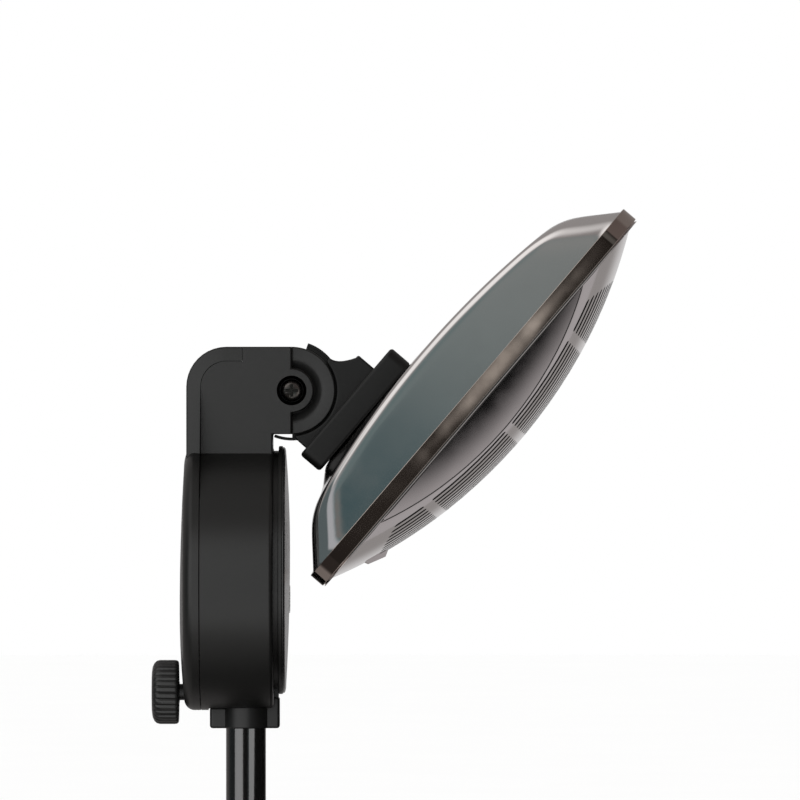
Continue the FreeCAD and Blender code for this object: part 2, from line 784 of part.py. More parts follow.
def build_main_housing():
    drum = turned("drum", "X", [
        (SEAM_X, 0),
        (SEAM_X, "drum_radius"),
        ("drum_front", "drum_radius", "drum_edge_round"),
        ("drum_front", 0),
    ], (0, 0, DRUM_Z))
    arm = side_prism("arm", arm_side(), "arm_half_width")
    boss = across("boss", "hinge_boss_radius", "hinge_x", HINGE_Z, "arm_half_width")
    shell = fuse("housing_solid", drum, arm, boss)

    cavity_depth = f"{FRONT_WALL_X} - {SEAM_X}"
    hollow = cylinder("drum_hollow", "drum_radius - housing_wall", (SEAM_X, 0, DRUM_Z), cavity_depth, "X")
    arm_hollow = box(
        "arm_hollow", (SEAM_X, "housing_wall - arm_half_width", DRUM_Z),
        (f"hinge_x - {FORK_REACH} - housing_wall", "arm_half_width - housing_wall",
         f"{ARM_TOP} - seam_inset - housing_wall"))
    fork = across("fork", FORK_REACH, "hinge_x", HINGE_Z, FORK_HALF_GAP)
    bolt_hole = across("bolt_hole", HINGE_HOLE, "hinge_x", HINGE_Z, "arm_half_width")
    sleeve_hole = cylinder("sleeve_hole", f"{SLEEVE_RADIUS} + seat_gap", (0, 0, COLLAR_Z),
                           f"{DRUM_Z} - {COLLAR_Z}")
    button_spot = (FRONT_WALL_X, 0, BUTTON_Z)
    switch_hole = cylinder("switch_hole", "switch_hole_radius", button_spot, "housing_wall", "X")
    gland_hole = cylinder("gland_hole", "gland_thread_radius + seat_gap", (0, 0, DRUM_Z), "drum_radius", "Y")
    holes = [bolt_hole, sleeve_hole, switch_hole, gland_hole]
    opened = cut("housing_shell", shell, hollow, arm_hollow, fork, *holes, *cheek_cuts())

    posts = []
    threads = []
    for y, z in cover_screw_places():
        posts.append(cylinder("cover_post", "screw_boss_radius", (SEAM_X, y, z), cavity_depth, "X"))
        threads.append(cylinder("cover_post_hole", SCREW_HOLE, (SEAM_X, y, z), cavity_depth, "X"))
    for y, z in board_corners():
        posts.append(cylinder("board_post", "post_radius", (BOARD_X, y, z), "board_standoff", "X"))
        threads.append(cylinder("board_post_hole", SCREW_HOLE, (BOARD_X, y, z), "board_standoff", "X"))
    for y in EAR_SCREWS_Y:
        start = (FRONT_WALL_X, y, EAR_SCREW_Z)
        threads.append(cylinder("ear_post_hole", SCREW_HOLE, start, "housing_wall / 2", "X"))
    piece("main_housing", cut("housing", fuse("housing_with_posts", opened, *posts), *threads))


def build_rear_cover():
    edge_length = f"{SEAM_X} + drum_back"
    disc = domed_disc("rear_disc", SEAM_X, REAR_EDGE_X, "-drum_back", "drum_radius", (0, 0, DRUM_Z))
    band_z = f"{ARM_TOP} - seam_inset"
    band = side_prism("arm_band", [
        ("-arm_back", DRUM_Z),
        ("-arm_back", ARM_TOP, "arm_corner"),
        ("-seam_top_back", ARM_TOP),
        ("-seam_top_back", band_z),
        (SEAM_X, band_z, "arm_corner - seam_inset"),
        (SEAM_X, DRUM_Z),
    ], "arm_half_width")
    shell = fuse("rear_solid", disc, band)

    floor_x = f"({REAR_EDGE_X} + housing_wall)"
    depth = f"{SEAM_X} - {floor_x}"
    hollow = cylinder("rear_hollow", "drum_radius - housing_wall", (floor_x, 0, DRUM_Z), depth, "X")
    band_hollow = box("band_hollow", (floor_x, "housing_wall - arm_half_width", DRUM_Z),
                      (SEAM_X, "arm_half_width - housing_wall", f"{ARM_TOP} - arm_corner"))
    hollowed = cut("rear_shell", shell, hollow, band_hollow)
    stud_hole = cylinder("rear_stud_hole", "knob_boss_radius + stud_hole_gap", ("-drum_back", 0, KNOB_Z),
                         edge_length, "X")
    posts = []
    tools = [stud_hole]
    for y, z in cover_screw_places():
        posts.append(cylinder("rear_post", "screw_boss_radius", (floor_x, y, z), depth, "X"))
        tools.append(cylinder("rear_screw_hole", SCREW_HOLE, (floor_x, y, z), depth, "X"))
        tools.append(cylinder("rear_counterbore", "small_head_radius + seat_gap", ("-drum_back", y, z),
                              f"{floor_x} + drum_back", "X"))
    piece("rear_cover", cut("rear", fuse("rear_with_posts", hollowed, *posts), *tools))
    piece("cover_screws", group("cover_screw_set", *[
        back_screw("cover_screw", (floor_x, y, z), "small_screw_radius", f"{depth} + small_screw_bite",
                   "small_head_radius", "small_head_height")
        for y, z in cover_screw_places()
    ]))


def build_pole_socket():
    sleeve = cylinder("sleeve", SLEEVE_RADIUS, (0, 0, COLLAR_Z), f"{SLEEVE_TOP} - {COLLAR_Z}")
    collar = prism("collar", "XY_Plane", [
        ("-collar_back", "-collar_half_width", "collar_corner"),
        ("collar_front", "-collar_half_width", "collar_corner"),
        ("collar_front", "collar_half_width", "collar_corner"),
        ("-collar_back", "collar_half_width", "collar_corner"),
    ], "collar_height", offset=COLLAR_Z)
    drum_seat = cylinder("drum_seat", "drum_radius + seat_gap", ("-drum_back", 0, DRUM_Z),
                         "drum_back + collar_front", "X")
    ear_top = f"({SLEEVE_TOP} - ear_height / 2)"
    ear_back = f"({FRONT_WALL_X} - ear_depth)"
    ears = box("ears", (ear_back, "-ear_half_width", f"{ear_top} - ear_height"),
               (FRONT_WALL_X, "ear_half_width", ear_top))
    boss_end = ("-insert_reach", 0, KNOB_Z)
    boss = cylinder("insert_boss", "insert_radius + insert_wall", boss_end, "insert_reach", "X")
    solid = fuse("socket_solid", sleeve, cut("collar_block", collar, drum_seat), ears, boss)
    ear_holes = [
        cylinder("ear_hole", SCREW_HOLE, (ear_back, y, EAR_SCREW_Z), "ear_depth", "X")
        for y in EAR_SCREWS_Y
    ]
    piece("pole_socket", cut(
        "socket", solid,
        cylinder("socket_bore", POLE_HOLE, (0, 0, COLLAR_Z), "socket_depth"),
        cylinder("insert_hole", "insert_radius + fit_clearance", boss_end, "insert_reach", "X"),
        *ear_holes))
    insert_length = f"insert_reach - {POLE_HOLE} - pad_gap"
    piece("clamp_insert", tube("insert", "insert_radius", STUD_HOLE, boss_end, insert_length, "X"))
    piece("socket_screws", group("socket_screw_set", *[
        back_screw("ear_screw", (ear_back, y, EAR_SCREW_Z), "small_screw_radius",
                   "ear_depth + housing_wall / 3", "small_head_radius", "small_head_height")
        for y in EAR_SCREWS_Y
    ]))


def build_front():
    step_x = "drum_front + bezel_gap"
    step_radius = "cover_radius - bezel_inset"
    bore = f"{step_radius} - bezel_wall"
    piece("bezel_ring", turned("bezel", "X", [
        ("drum_front", bore),
        ("drum_front", step_radius),
        (step_x, step_radius),
        (step_x, "cover_radius"),
        (BEZEL_FRONT_X, "cover_radius", "cover_inset"),
        (BEZEL_FRONT_X, bore),
    ], (0, 0, COVER_Z)))

    edge_x = f"({BEZEL_FRONT_X} + cover_edge)"
    height = "cover_edge + cover_dome_rise"
    solid = domed_disc("cover_solid", BEZEL_FRONT_X, edge_x, COVER_CROWN_X, "cover_radius - cover_inset",
                       (0, 0, COVER_Z))
    inner = cylinder("cover_inner", bore, (BEZEL_FRONT_X, 0, COVER_Z), "cover_edge", "X")
    button_hole = cylinder("button_hole", "button_radius + button_gap", (BEZEL_FRONT_X, 0, BUTTON_Z),
                           height, "X")
    piece("front_cover", cut("cover", solid, inner, button_hole))

    face_x = f"({COVER_CROWN_X} + button_proud)"
    lip_front = f"({edge_x} - seat_gap)"
    lip_back = f"({lip_front} - button_lip)"
    switch_x = f"({BOARD_X} + switch_depth)"
    stem_x = f"({switch_x} - stem_bite)"
    piece("power_button", turned("button", "X", [
        (stem_x, 0),
        (stem_x, "button_stem_radius"),
        (lip_back, "button_stem_radius"),
        (lip_back, "button_radius + button_lip"),
        (lip_front, "button_radius + button_lip"),
        (lip_front, "button_radius"),
        (face_x, "button_radius", "button_lip / 2"),
        (face_x, 0),
    ], (0, 0, BUTTON_Z)))
    block = box("switch_block", (BOARD_X, "-switch_half_width", f"{BUTTON_Z} - switch_half_width"),
                (switch_x, "switch_half_width", f"{BUTTON_Z} + switch_half_width"))
    bore_depth = "stem_bite + button_travel + seat_gap"
    piece("power_switch", cut("switch", block, cylinder(
        "switch_bore", "button_stem_radius + fit_clearance", (f"{switch_x} - ({bore_depth})", 0, BUTTON_Z),
        bore_depth, "X")))


def build_electrics():
    back_x = f"({BOARD_X} - board_thickness)"
    board = box("board", (back_x, "-board_half_width", BOARD_LOW),
                (BOARD_X, "board_half_width", f"{BOARD_LOW} + board_height"))
    holes = [
        cylinder("board_hole", SCREW_HOLE, (back_x, y, z), "board_thickness", "X")
        for y, z in board_corners()
    ]
    piece("control_board", cut("board_drilled", board, *holes))
    piece("board_screws", group("board_screw_set", *[
        back_screw("board_screw", (back_x, y, z), "small_screw_radius",
                   "board_thickness + board_standoff / 2", "small_head_radius", "small_head_height")
        for y, z in board_corners()
    ]))
    block_z = f"({BOARD_LOW} + board_height / 2)"
    block = box("terminals", (f"{back_x} - terminal_depth", "-board_half_width / 2", block_z),
                (back_x, "board_half_width / 2", f"{block_z} + terminal_depth"))
    piece("terminal_block", block)
    low_z = f"({BOARD_LOW} + board_edge)"
    piece("tip_switch", box("tip_box", (f"{back_x} - tip_switch_size", "-tip_switch_size / 2", low_z),
                            (back_x, "tip_switch_size / 2", f"{low_z} + tip_switch_size")))
    wall_y = "(drum_radius - housing_wall)"
    nut = cylinder("gland_nut", "gland_radius", (0, "drum_radius", DRUM_Z), "gland_length", "Y")
    thread = cylinder("gland_thread", "gland_thread_radius", (0, wall_y, DRUM_Z), "housing_wall", "Y")
    bore = cylinder("gland_hollow", "gland_bore", (0, wall_y, DRUM_Z), "housing_wall + gland_length", "Y")
    piece("cable_inlet", cut("gland", fuse("gland_solid", nut, thread), bore))


# Tilt hinge

def build_hinge():
    floor_y = "(arm_half_width - recess_depth)"
    washer_y = f"({floor_y} + hinge_washer)"
    head_y = f"(-{washer_y} - hinge_head_height)"
    shank_length = f"{washer_y} * 2 + hinge_nut_height"
    head = cylinder("bolt_head", "hinge_head_radius", ("hinge_x", head_y, HINGE_Z), "hinge_head_height", "Y")
    shank_start = ("hinge_x", f"-{washer_y}", HINGE_Z)
    shank = cylinder("bolt_shank", "hinge_bolt_radius", shank_start, shank_length, "Y")
    thin = "hinge_cross_width / 2"
    wide = "hinge_cross_length / 2"
    cross = [
        box("bolt_cross", (f"hinge_x - {half_x}", head_y, f"{HINGE_Z} - {half_z}"),
            (f"hinge_x + {half_x}", f"{head_y} + hinge_cross_depth", f"{HINGE_Z} + {half_z}"))
        for half_x, half_z in ((thin, wide), (wide, thin))
    ]
    piece("hinge_bolt", cut("bolt_cut", fuse("bolt_solid", head, shank), fuse("bolt_recess", *cross)))

    hexagon = doc.addObject("Part::Prism", "hexagon")
    hexagon.Polygon = 6
    bind(hexagon, "Circumradius", "hinge_nut_radius")
    bind(hexagon, "Height", "hinge_nut_height")
    place(hexagon, ("hinge_x", washer_y, HINGE_Z), "Y")
    nut_bore = cylinder("nut_bore", HINGE_HOLE, ("hinge_x", washer_y, HINGE_Z), "hinge_nut_height", "Y")
    piece("hinge_nut", cut("nut", hexagon, nut_bore))
    piece("hinge_washers", group("washers", *[
        tube("washer", "hinge_head_radius", HINGE_HOLE, ("hinge_x", start, HINGE_Z), "hinge_washer", "Y")
        for start in (floor_y, f"-{washer_y}")
    ]))
    inner_y = "(knuckle_half_width + friction_gap)"
    piece("friction_washers", group("friction_discs", *[
        tube("friction_disc", "friction_radius", HINGE_HOLE, ("hinge_x", start, HINGE_Z),
             "friction_thickness", "Y")
        for start in (inner_y, f"-{inner_y} - friction_thickness")
    ]))


# Heater head, upright about the hinge: x out of the front, z along the rim

def plate_screw_places():
    """Where the bracket's screws are, as (y, z)."""
    for y in ("(plate_half_width - plate_screw_inset)", "(plate_screw_inset - plate_half_width)"):
        for z in ("(plate_screw_inset - plate_low)", "(plate_high - plate_screw_inset)"):
            yield y, z


def build_tilt_bracket():
    barrel = across("barrel", "knuckle_radius", 0, 0, "knuckle_half_width")
    web = box("web", (0, "-knuckle_half_width", "-knuckle_radius / 2"),
              (PLATE_BACK, "knuckle_half_width", "knuckle_radius / 2"))
    shield_ring = tube("shield_ring", "shield_radius", "shield_radius - shield_wall",
                       (0, "-knuckle_half_width", 0), "2 * knuckle_half_width", "Y")
    far = "(2 * shield_radius)"
    shield_wedge = side_prism("shield_wedge", [
        (0, 0),
        (f"{far} * cos(shield_low)", f"-{far} * sin(shield_low)"),
        (far, f"-{far} * sin(shield_low)"),
        (far, f"{far} * sin(shield_high)"),
        (f"{far} * cos(shield_high)", f"{far} * sin(shield_high)"),
    ], "knuckle_half_width")
    shield = common("shield", shield_ring, shield_wedge)
    neck_side = [
        (PLATE_BACK, "-plate_low"),
        (PLATE_BACK, "neck_top"),
        ("neck_step_back", "neck_top"),
        ("neck_root", "shield_radius"),
        ("neck_root", 0),
        ("neck_foot_out", "-neck_foot"),
    ]
    neck = cut("neck", side_prism("neck_block", neck_side, "neck_half_width"),
               across("neck_clear", "hinge_boss_radius + neck_gap", 0, 0, "neck_half_width"))
    plate_corners = [
        ("plate_half_width", "-plate_low", "plate_corner"),
        ("plate_half_width", "plate_high", "plate_corner"),
        ("-plate_half_width", "plate_high", "plate_corner"),
        ("-plate_half_width", "-plate_low", "plate_corner"),
    ]
    plate = prism("plate", "YZ_Plane", plate_corners, "plate_thickness", offset=PLATE_BACK)
    bolt_hole = across("knuckle_hole", HINGE_HOLE, 0, 0, "knuckle_half_width")
    thread_end = f"{DISH_BACK_X} - small_screw_bite"
    screw_holes = [
        cylinder("plate_hole", SCREW_HOLE, (thread_end, y, z), "small_screw_bite", "X")
        for y, z in plate_screw_places()
    ]
    solid = fuse("bracket_solid", barrel, web, shield, neck, plate)
    on_head("tilt_bracket", cut("bracket", solid, bolt_hole, *screw_holes))
    on_head("bracket_screws", group("bracket_screw_set", *[
        screw("bracket_screw", (f"{DISH_BACK_X} + dish_sheet", y, z), "X", "small_screw_radius",
              "dish_sheet + small_screw_bite / 2", "small_head_radius", "small_head_height")
        for y, z in plate_screw_places()
    ]))


def arched_bar(name, half_width, shrink):
    """The pan's cross-section, its back edges rounded, swept round the long arch of its back."""
    body = doc.addObject("PartDesign::Body", name)
    drawing = sketch_on(body, "XY_Plane")
    back = f"({shrink} - dish_arch_radius)"
    front = f"({back} + 2 * dish_depth)"
    wall_depth = "(dish_depth - rim_back)"
    back_half = f"({half_width} - {wall_depth} * tan(dish_side_draft))"
    front_half = f"({half_width} + (2 * dish_depth - {wall_depth}) * tan(dish_side_draft))"
    outline(drawing, [
        (front, f"-{front_half}"),
        (back, f"-{back_half}", f"dish_side_round - {shrink}"),
        (back, back_half, f"dish_side_round - {shrink}"),
        (front, front_half),
    ])
    lathe = body.newObject("PartDesign::Revolution", f"{name}_swept")
    lathe.Profile = drawing
    lathe.ReferenceAxis = (drawing, ["V_Axis"])
    lathe.Midplane = True
    bind(lathe, "Angle", "2 * asin(rim_half_length / (dish_arch_radius - 2 * dish_depth))")
    return place(body, (f"{DISH_BACK_X} + dish_arch_radius", 0, "rim_up"))


def dish_form(name, shrink):
    """The pan's outside, or with shrink its hollow: sloping ends, drafted sides and an arched back."""
    end_half = f"({DISH_HALF_LENGTH} - {shrink} / sin(dish_end_angle))"
    deep_half = f"({end_half} - dish_depth / tan(dish_end_angle))"
    deep_x = f"({RIM_BACK_X} - dish_depth)"
    half_width = f"({DISH_HALF_WIDTH} - {shrink} / cos(dish_side_draft))"
    ends = side_prism(f"{name}_ends", [
        (RIM_BACK_X, f"rim_up + {end_half}"),
        (deep_x, f"rim_up + {deep_half}"),
        (deep_x, f"rim_up - {deep_half}"),
        (RIM_BACK_X, f"rim_up - {end_half}"),
    ], half_width)
    corner = f"(rim_corner - dish_inset - {shrink})"
    plan = slab(f"{name}_plan", half_width, end_half, corner, deep_x, RIM_BACK_X)
    return common(name, ends, arched_bar(f"{name}_arch", half_width, shrink), plan)


def build_dish():
    def pan(name, shrink):
        """The pan with the flat pad that its bracket is screwed to."""
        half_width = f"plate_half_width + dish_pad_margin - {shrink}"
        back = f"{DISH_BACK_X} + {shrink}"
        front = f"{DISH_BACK_X} + dish_depth / 2"
        pad = box(f"{name}_pad", (back, f"-({half_width})", f"dish_pad_inset - plate_low + {shrink}"),
                  (front, half_width, f"rim_up - {shrink}"))
        return fuse(name, dish_form(f"{name}_form", shrink), pad)

    outside = pan("dish_outside", "0")
    hollow = pan("dish_inside", "dish_sheet")
    holes = [
        cylinder("dish_hole", SCREW_HOLE, (DISH_BACK_X, y, z), "dish_sheet", "X")
        for y, z in plate_screw_places()
    ]
    on_head("rear_dish", cut("dish", outside, hollow, *holes))


def build_rim():
    outer = slab("rim_outer", "rim_half_width", "rim_half_length", "rim_corner", RIM_BACK_X, RIM_FRONT_X)
    inner = slab("rim_inner", "rim_half_width - rim_section", "rim_half_length - rim_section",
                 "rim_corner - rim_section", RIM_BACK_X, RIM_FRONT_X)
    depth = f"{RIM_FRONT_X} - {RIM_BACK_X}"
    holes = [
        cylinder("rim_hole", "rim_screw_radius + thread_gap", (RIM_BACK_X, y, z), depth, "X")
        for y, z in rim_screw_places()
    ]
    on_head("rim_frame", cut("rim", outer, inner, *holes))
    on_head("rim_screws", group("rim_screw_set", *[
        screw("rim_screw", (RIM_FRONT_X, y, z), "X", "rim_screw_radius", "rim_front",
              "rim_screw_head", "grille_sheet")
        for y, z in rim_screw_places()
    ]))


def rim_screw_places():
    """Where the screws that hold the grille to the rim are, as (y, z)."""
    for y in ("rim_screw_half_gap", "-rim_screw_half_gap"):
        for sign in ("+", "-"):
            yield y, f"(rim_up {sign} (rim_half_length - rim_section / 2))"


def dome_form(name, shrink, base_x):
    """The grille's dome, or with shrink its inside: a ball's cap between two flat side facets."""
    radius = f"({DOME_RADIUS} - {shrink})"
    cap = ball(f"{name}_ball", radius, (DOME_CENTRE_X, 0, "rim_up"))
    foot = f"(rim_half_width - facet_border - {shrink} / sin(facet_angle))"
    top_x = f"({LAND_X} + {FACET_BLOCK_RISE} * grille_rise)"
    slope_foot = f"({foot} + ({LAND_X} - {base_x}) / tan(facet_angle))"
    slope_top = f"({foot} - ({top_x} - {LAND_X}) / tan(facet_angle))"
    body = prism(f"{name}_facets", "XY_Plane", [
        (base_x, f"-{slope_foot}"),
        (top_x, f"-{slope_top}"),
        (top_x, slope_top),
        (base_x, slope_foot),
    ], "2 * rim_half_length", offset="rim_up - rim_half_length")
    return common(name, cap, body)


def slot_field():
    """Upright slots in four rows between crossbars, their outer ends on a wide arc."""
    pitch = number("slot_pitch")
    half_slot = number("slot_width") / 2
    half_bar = number("bar_width") / 2
    bar = number("bar_spacing")
    end_radius = number("slot_end_radius")
    middle = number("rim_up")
    low_x = number(RIM_X)
    depth = number("grille_rise") * 2
    columns = int((number("slot_field_half_width") - half_slot) / pitch + 0.5)
    slots = []
    for column in range(-columns, columns):
        y = (column + 0.5) * pitch
        reach = number("slot_reach") - end_radius + math.sqrt(end_radius ** 2 - y ** 2)
        for low, high in ((half_bar, bar - half_bar), (bar + half_bar, reach)):
            for start in (middle + low, middle - high):
                corner = FreeCAD.Vector(low_x, y - half_slot, start)
                slots.append(Part.makeBox(depth, 2 * half_slot, high - low, corner))
    field = doc.addObject("Part::Feature", "slot_field")
    field.Shape = Part.makeCompound(slots)
    return field


def build_grille():
    land = slab("land", "rim_half_width - grille_sheet / 2", "rim_half_length - grille_sheet / 2",
                "rim_corner - grille_sheet / 2", RIM_FRONT_X, LAND_X)
    skin = fuse("grille_skin", land, dome_form("dome", "0", RIM_FRONT_X))
    holes = [
        cylinder("land_hole", "rim_screw_head + thread_gap", (RIM_FRONT_X, y, z), "grille_sheet", "X")
        for y, z in rim_screw_places()
    ]
    hollowed = cut("grille_hollowed", skin, dome_form("dome_inside", "grille_sheet", RIM_X), *holes)
    on_head("front_grille", cut("grille", hollowed, slot_field()))

    plate_middle = "(plain_plate_low - plain_plate_length / 2)"
    lean = f"asin({plate_middle} / {DOME_RADIUS})"
    corners = rectangle("plain_plate_half_width", "plain_plate_length / 2", "plain_plate_length / 4")
    blank = prism("blank", "YZ_Plane", corners, "plain_plate_proud", offset=f"{DOME_RADIUS} + thread_gap")
    centre = f"create(<<vector>>; {DOME_CENTRE_X}; 0; rim_up)"
    turn = f"create(<<rotation>>; create(<<vector>>; 0; 1; 0); {lean})"
    bind(blank, "Placement", f"create(<<placement>>; {centre}; {turn})")
    on_head("plain_plate", group("plate_group", blank))


def tube_places():
    """Across the head, one place for each heating tube."""
    for index in range(HEATING_TUBES):
        yield f"(tube_spacing * {index - (HEATING_TUBES - 1) / 2})"


def build_heating():
    back_x = f"({RIM_BACK_X} - reflector_depth)"
    half_length = (f"({DISH_HALF_LENGTH} - reflector_depth / tan(dish_end_angle) "
                   "- dish_sheet / sin(dish_end_angle) - reflector_gap)")
    half_width = (f"({DISH_HALF_WIDTH} - reflector_depth * tan(dish_side_draft) "
                  "- dish_sheet / cos(dish_side_draft) - reflector_gap)")
    corner = "rim_corner - rim_section - reflector_gap"
    pan = slab("reflector_pan", half_width, half_length, corner, back_x, RIM_BACK_X)
    lap = "(rim_section - reflector_lap)"
    flange = slab("reflector_flange", f"rim_half_width - {lap}", f"rim_half_length - {lap}",
                  f"rim_corner - {lap}", f"{RIM_BACK_X} - reflector_sheet", RIM_BACK_X)
    hollow = slab("reflector_hollow", f"{half_width} - reflector_sheet", f"{half_length} - reflector_sheet",
                  f"{corner} - reflector_sheet", f"{back_x} + reflector_sheet", RIM_BACK_X)
    on_head("inner_reflector", cut("reflector", fuse("reflector_solid", pan, flange), hollow))

    plate_foot = f"{back_x} + reflector_sheet"
    plate_half = f"tube_spacing * {(HEATING_TUBES - 1) / 2} + tube_bracket_margin"
    middle = f"({TUBE_HALF_LENGTH} + tube_end_length / 2 - tube_end_bite / 2)"
    plates = []
    for sign in ("+", "-"):
        centre = f"rim_up {sign} {middle}"
        plate = box("tube_plate", (plate_foot, f"-({plate_half})", f"{centre} - tube_bracket_sheet / 2"),
                    (f"{RIM_X} + tube_bracket_rise", plate_half, f"{centre} + tube_bracket_sheet / 2"))
        holes = [
            cylinder("tube_plate_hole", "tube_end_radius + fit_clearance",
                     (RIM_X, y, f"{centre} - tube_bracket_sheet / 2"), "tube_bracket_sheet")
            for y in tube_places()
        ]
        plates.append(cut("tube_plate_drilled", plate, *holes))
    on_head("tube_brackets", group("tube_plates", *plates))

    end_inner = f"({TUBE_HALF_LENGTH} - tube_end_bite)"
    tube_length = f"2 * {TUBE_HALF_LENGTH}"
    ends = []
    filaments = []
    for index, y in enumerate(tube_places(), start=1):
        foot = (RIM_X, y, f"rim_up - {TUBE_HALF_LENGTH}")
        on_head(f"heating_tube_{index}", tube("quartz", "tube_radius", "tube_radius - tube_wall", foot,
                                              tube_length))
        filaments.append(cylinder("wire", "filament_radius", foot, tube_length))
        for start in (f"rim_up + {end_inner}", f"rim_up - {end_inner} - tube_end_length"):
            cap = cylinder("ceramic", "tube_end_radius", (RIM_X, y, start), "tube_end_length")
            seat = cylinder("ceramic_seat", "tube_radius + fit_clearance", foot, tube_length)
            ends.append(cut("ceramic_end", cap, seat))
    on_head("tube_ends", group("tube_end_set", *ends))
    on_head("filaments", group("filament_set", *filaments))


# Whole object

def check_and_write():
    """Stops on any failed object or bad solid, then writes one file for each sub-part."""
    doc.recompute()
    failed = [thing.Label for thing in doc.Objects if {"Invalid", "Error"} & set(thing.State)]
    if failed:
        raise RuntimeError(f"failed objects: {failed}")
    for thing in pieces:
        shape = thing.Shape
        if shape.isNull() or not shape.isValid() or not shape.Solids:
            raise RuntimeError(f"bad solid: {thing.Label}")
    os.makedirs("parts", exist_ok=True)
    for thing in pieces:
        thing.Shape.exportStep(f"parts/{thing.Label}.step")
        print(f"{thing.Label}: {len(thing.Shape.Solids)} solids, {thing.Shape.Volume / 1000:.2f} cm3")


build_base()
build_pole()
build_knob("height", "(-clamp_boss_reach - knob_boss_length)", HEIGHT_SCREW_Z)
build_main_housing()
build_rear_cover()
build_pole_socket()
build_knob("clamp", "(-drum_back - knob_gap)", KNOB_Z)
build_front()
build_electrics()
build_hinge()
build_tilt_bracket()
build_dish()
build_rim()
build_grille()
build_heating()
check_and_write()
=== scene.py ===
import json
import math

import bmesh
import bpy
from mathutils import Matrix, Vector


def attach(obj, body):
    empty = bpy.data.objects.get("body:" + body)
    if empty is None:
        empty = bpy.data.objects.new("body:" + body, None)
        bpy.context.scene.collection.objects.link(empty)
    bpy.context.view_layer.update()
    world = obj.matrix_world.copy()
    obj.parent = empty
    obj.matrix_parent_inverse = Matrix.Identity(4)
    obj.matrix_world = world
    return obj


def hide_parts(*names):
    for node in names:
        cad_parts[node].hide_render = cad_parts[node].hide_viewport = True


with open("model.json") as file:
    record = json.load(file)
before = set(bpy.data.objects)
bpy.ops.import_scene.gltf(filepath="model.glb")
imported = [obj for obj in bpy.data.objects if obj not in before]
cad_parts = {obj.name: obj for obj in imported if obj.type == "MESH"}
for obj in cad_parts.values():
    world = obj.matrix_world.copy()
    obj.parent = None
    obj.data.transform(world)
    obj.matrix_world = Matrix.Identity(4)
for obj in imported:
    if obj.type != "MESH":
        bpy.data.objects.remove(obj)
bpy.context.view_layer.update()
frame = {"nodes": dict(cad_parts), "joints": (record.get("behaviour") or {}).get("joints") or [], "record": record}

# Frames: sizes below are millimetres, either in the row frame or upright about the tilt hinge
MM = 0.001
JOINTS = {joint["name"]: joint for joint in frame["joints"]}
HINGE = Vector(JOINTS["head_tilt"]["pos_m"])
TILT = math.radians(-JOINTS["head_tilt"]["range_deg"][0])
UPRIGHT = Matrix.Scale(MM, 4)
HEAD = Matrix.Translation(HINGE) @ Matrix.Rotation(TILT, 4, "Y") @ UPRIGHT


def node_box(node, place=UPRIGHT):
    """Lowest and highest corner of a CAD node in a frame, in millimetres."""
    back = place.inverted()
    points = [back @ vertex.co for vertex in frame["nodes"][node].data.vertices]
    return (Vector(min(point[i] for point in points) for i in range(3)),
            Vector(max(point[i] for point in points) for i in range(3)))


# Finishes
PATCH_SPAN = (0.35, 0.65)
GRAIN_SPAN = (0.3, 0.7)
GRAIN_DEPTH = 0.0002
LOOKS = {}


def feed(tree, node, inputs):
    """Gives a shader node's inputs their values or other nodes' outputs."""
    for key, value in inputs.items():
        if isinstance(value, bpy.types.NodeSocket):
            tree.links.new(value, node.inputs[key])
        else:
            node.inputs[key].default_value = value


def add_node(tree, kind, inputs):
    """New shader node with its inputs."""
    node = tree.nodes.new("ShaderNode" + kind)
    feed(tree, node, inputs)
    return node


def colour_ramp(tree, factor, stops, curve="LINEAR"):
    """Ramp node between two stops given as (position, colour)."""
    node = add_node(tree, "ValToRGB", {"Fac": factor})
    node.color_ramp.interpolation = curve
    for element, (position, colour) in zip(node.color_ramp.elements, stops):
        element.position = position
        element.color = (*colour, 1)
    return node


def look(name, colour, tint, rough, grain, patch=6.0, spread=(1, 1, 1), bump=0.0, wave=None, **sockets):
    """A finish that varies over its piece.

    Broad patches mix colour and tint. A grain, stretched by spread, moves the roughness and lifts
    the surface. A wave, given as scale and depth, lets a sheet's face run slightly out of true.
    """
    material = bpy.data.materials.new(name)
    material.use_nodes = True
    tree = material.node_tree
    shader = tree.nodes["Principled BSDF"]
    feed(tree, shader, {socket.replace("_", " "): value for socket, value in sockets.items()})
    place = add_node(tree, "TexCoord", {}).outputs["Object"]
    stretch = add_node(tree, "Mapping", {"Vector": place, "Scale": spread})
    broad = add_node(tree, "TexNoise", {"Vector": place, "Scale": patch, "Detail": 3})
    fine = add_node(tree, "TexNoise", {"Vector": stretch.outputs["Vector"], "Scale": grain, "Detail": 4})
    ramp = colour_ramp(tree, broad.outputs[0], zip(PATCH_SPAN, (colour, tint)))
    level = add_node(tree, "MapRange", {
        "Value": fine.outputs[0], "From Min": GRAIN_SPAN[0], "From Max": GRAIN_SPAN[1],
        "To Min": rough[0], "To Max": rough[1]})
    feed(tree, shader, {"Base Color": ramp.outputs["Color"], "Roughness": level.outputs["Result"]})
    reliefs = [(fine, bump, GRAIN_DEPTH)] if bump else []
    if wave:
        swell = add_node(tree, "TexNoise", {"Vector": place, "Scale": wave[0], "Detail": 1})
        reliefs.append((swell, 1.0, wave[1]))
    normal = {}
    for source, strength, depth in reliefs:
        relief = add_node(tree, "Bump", {
            "Height": source.outputs[0], "Strength": strength, "Distance": depth, **normal})
        normal = {"Normal": relief.outputs["Normal"]}
    feed(tree, shader, normal)
    LOOKS[name] = material


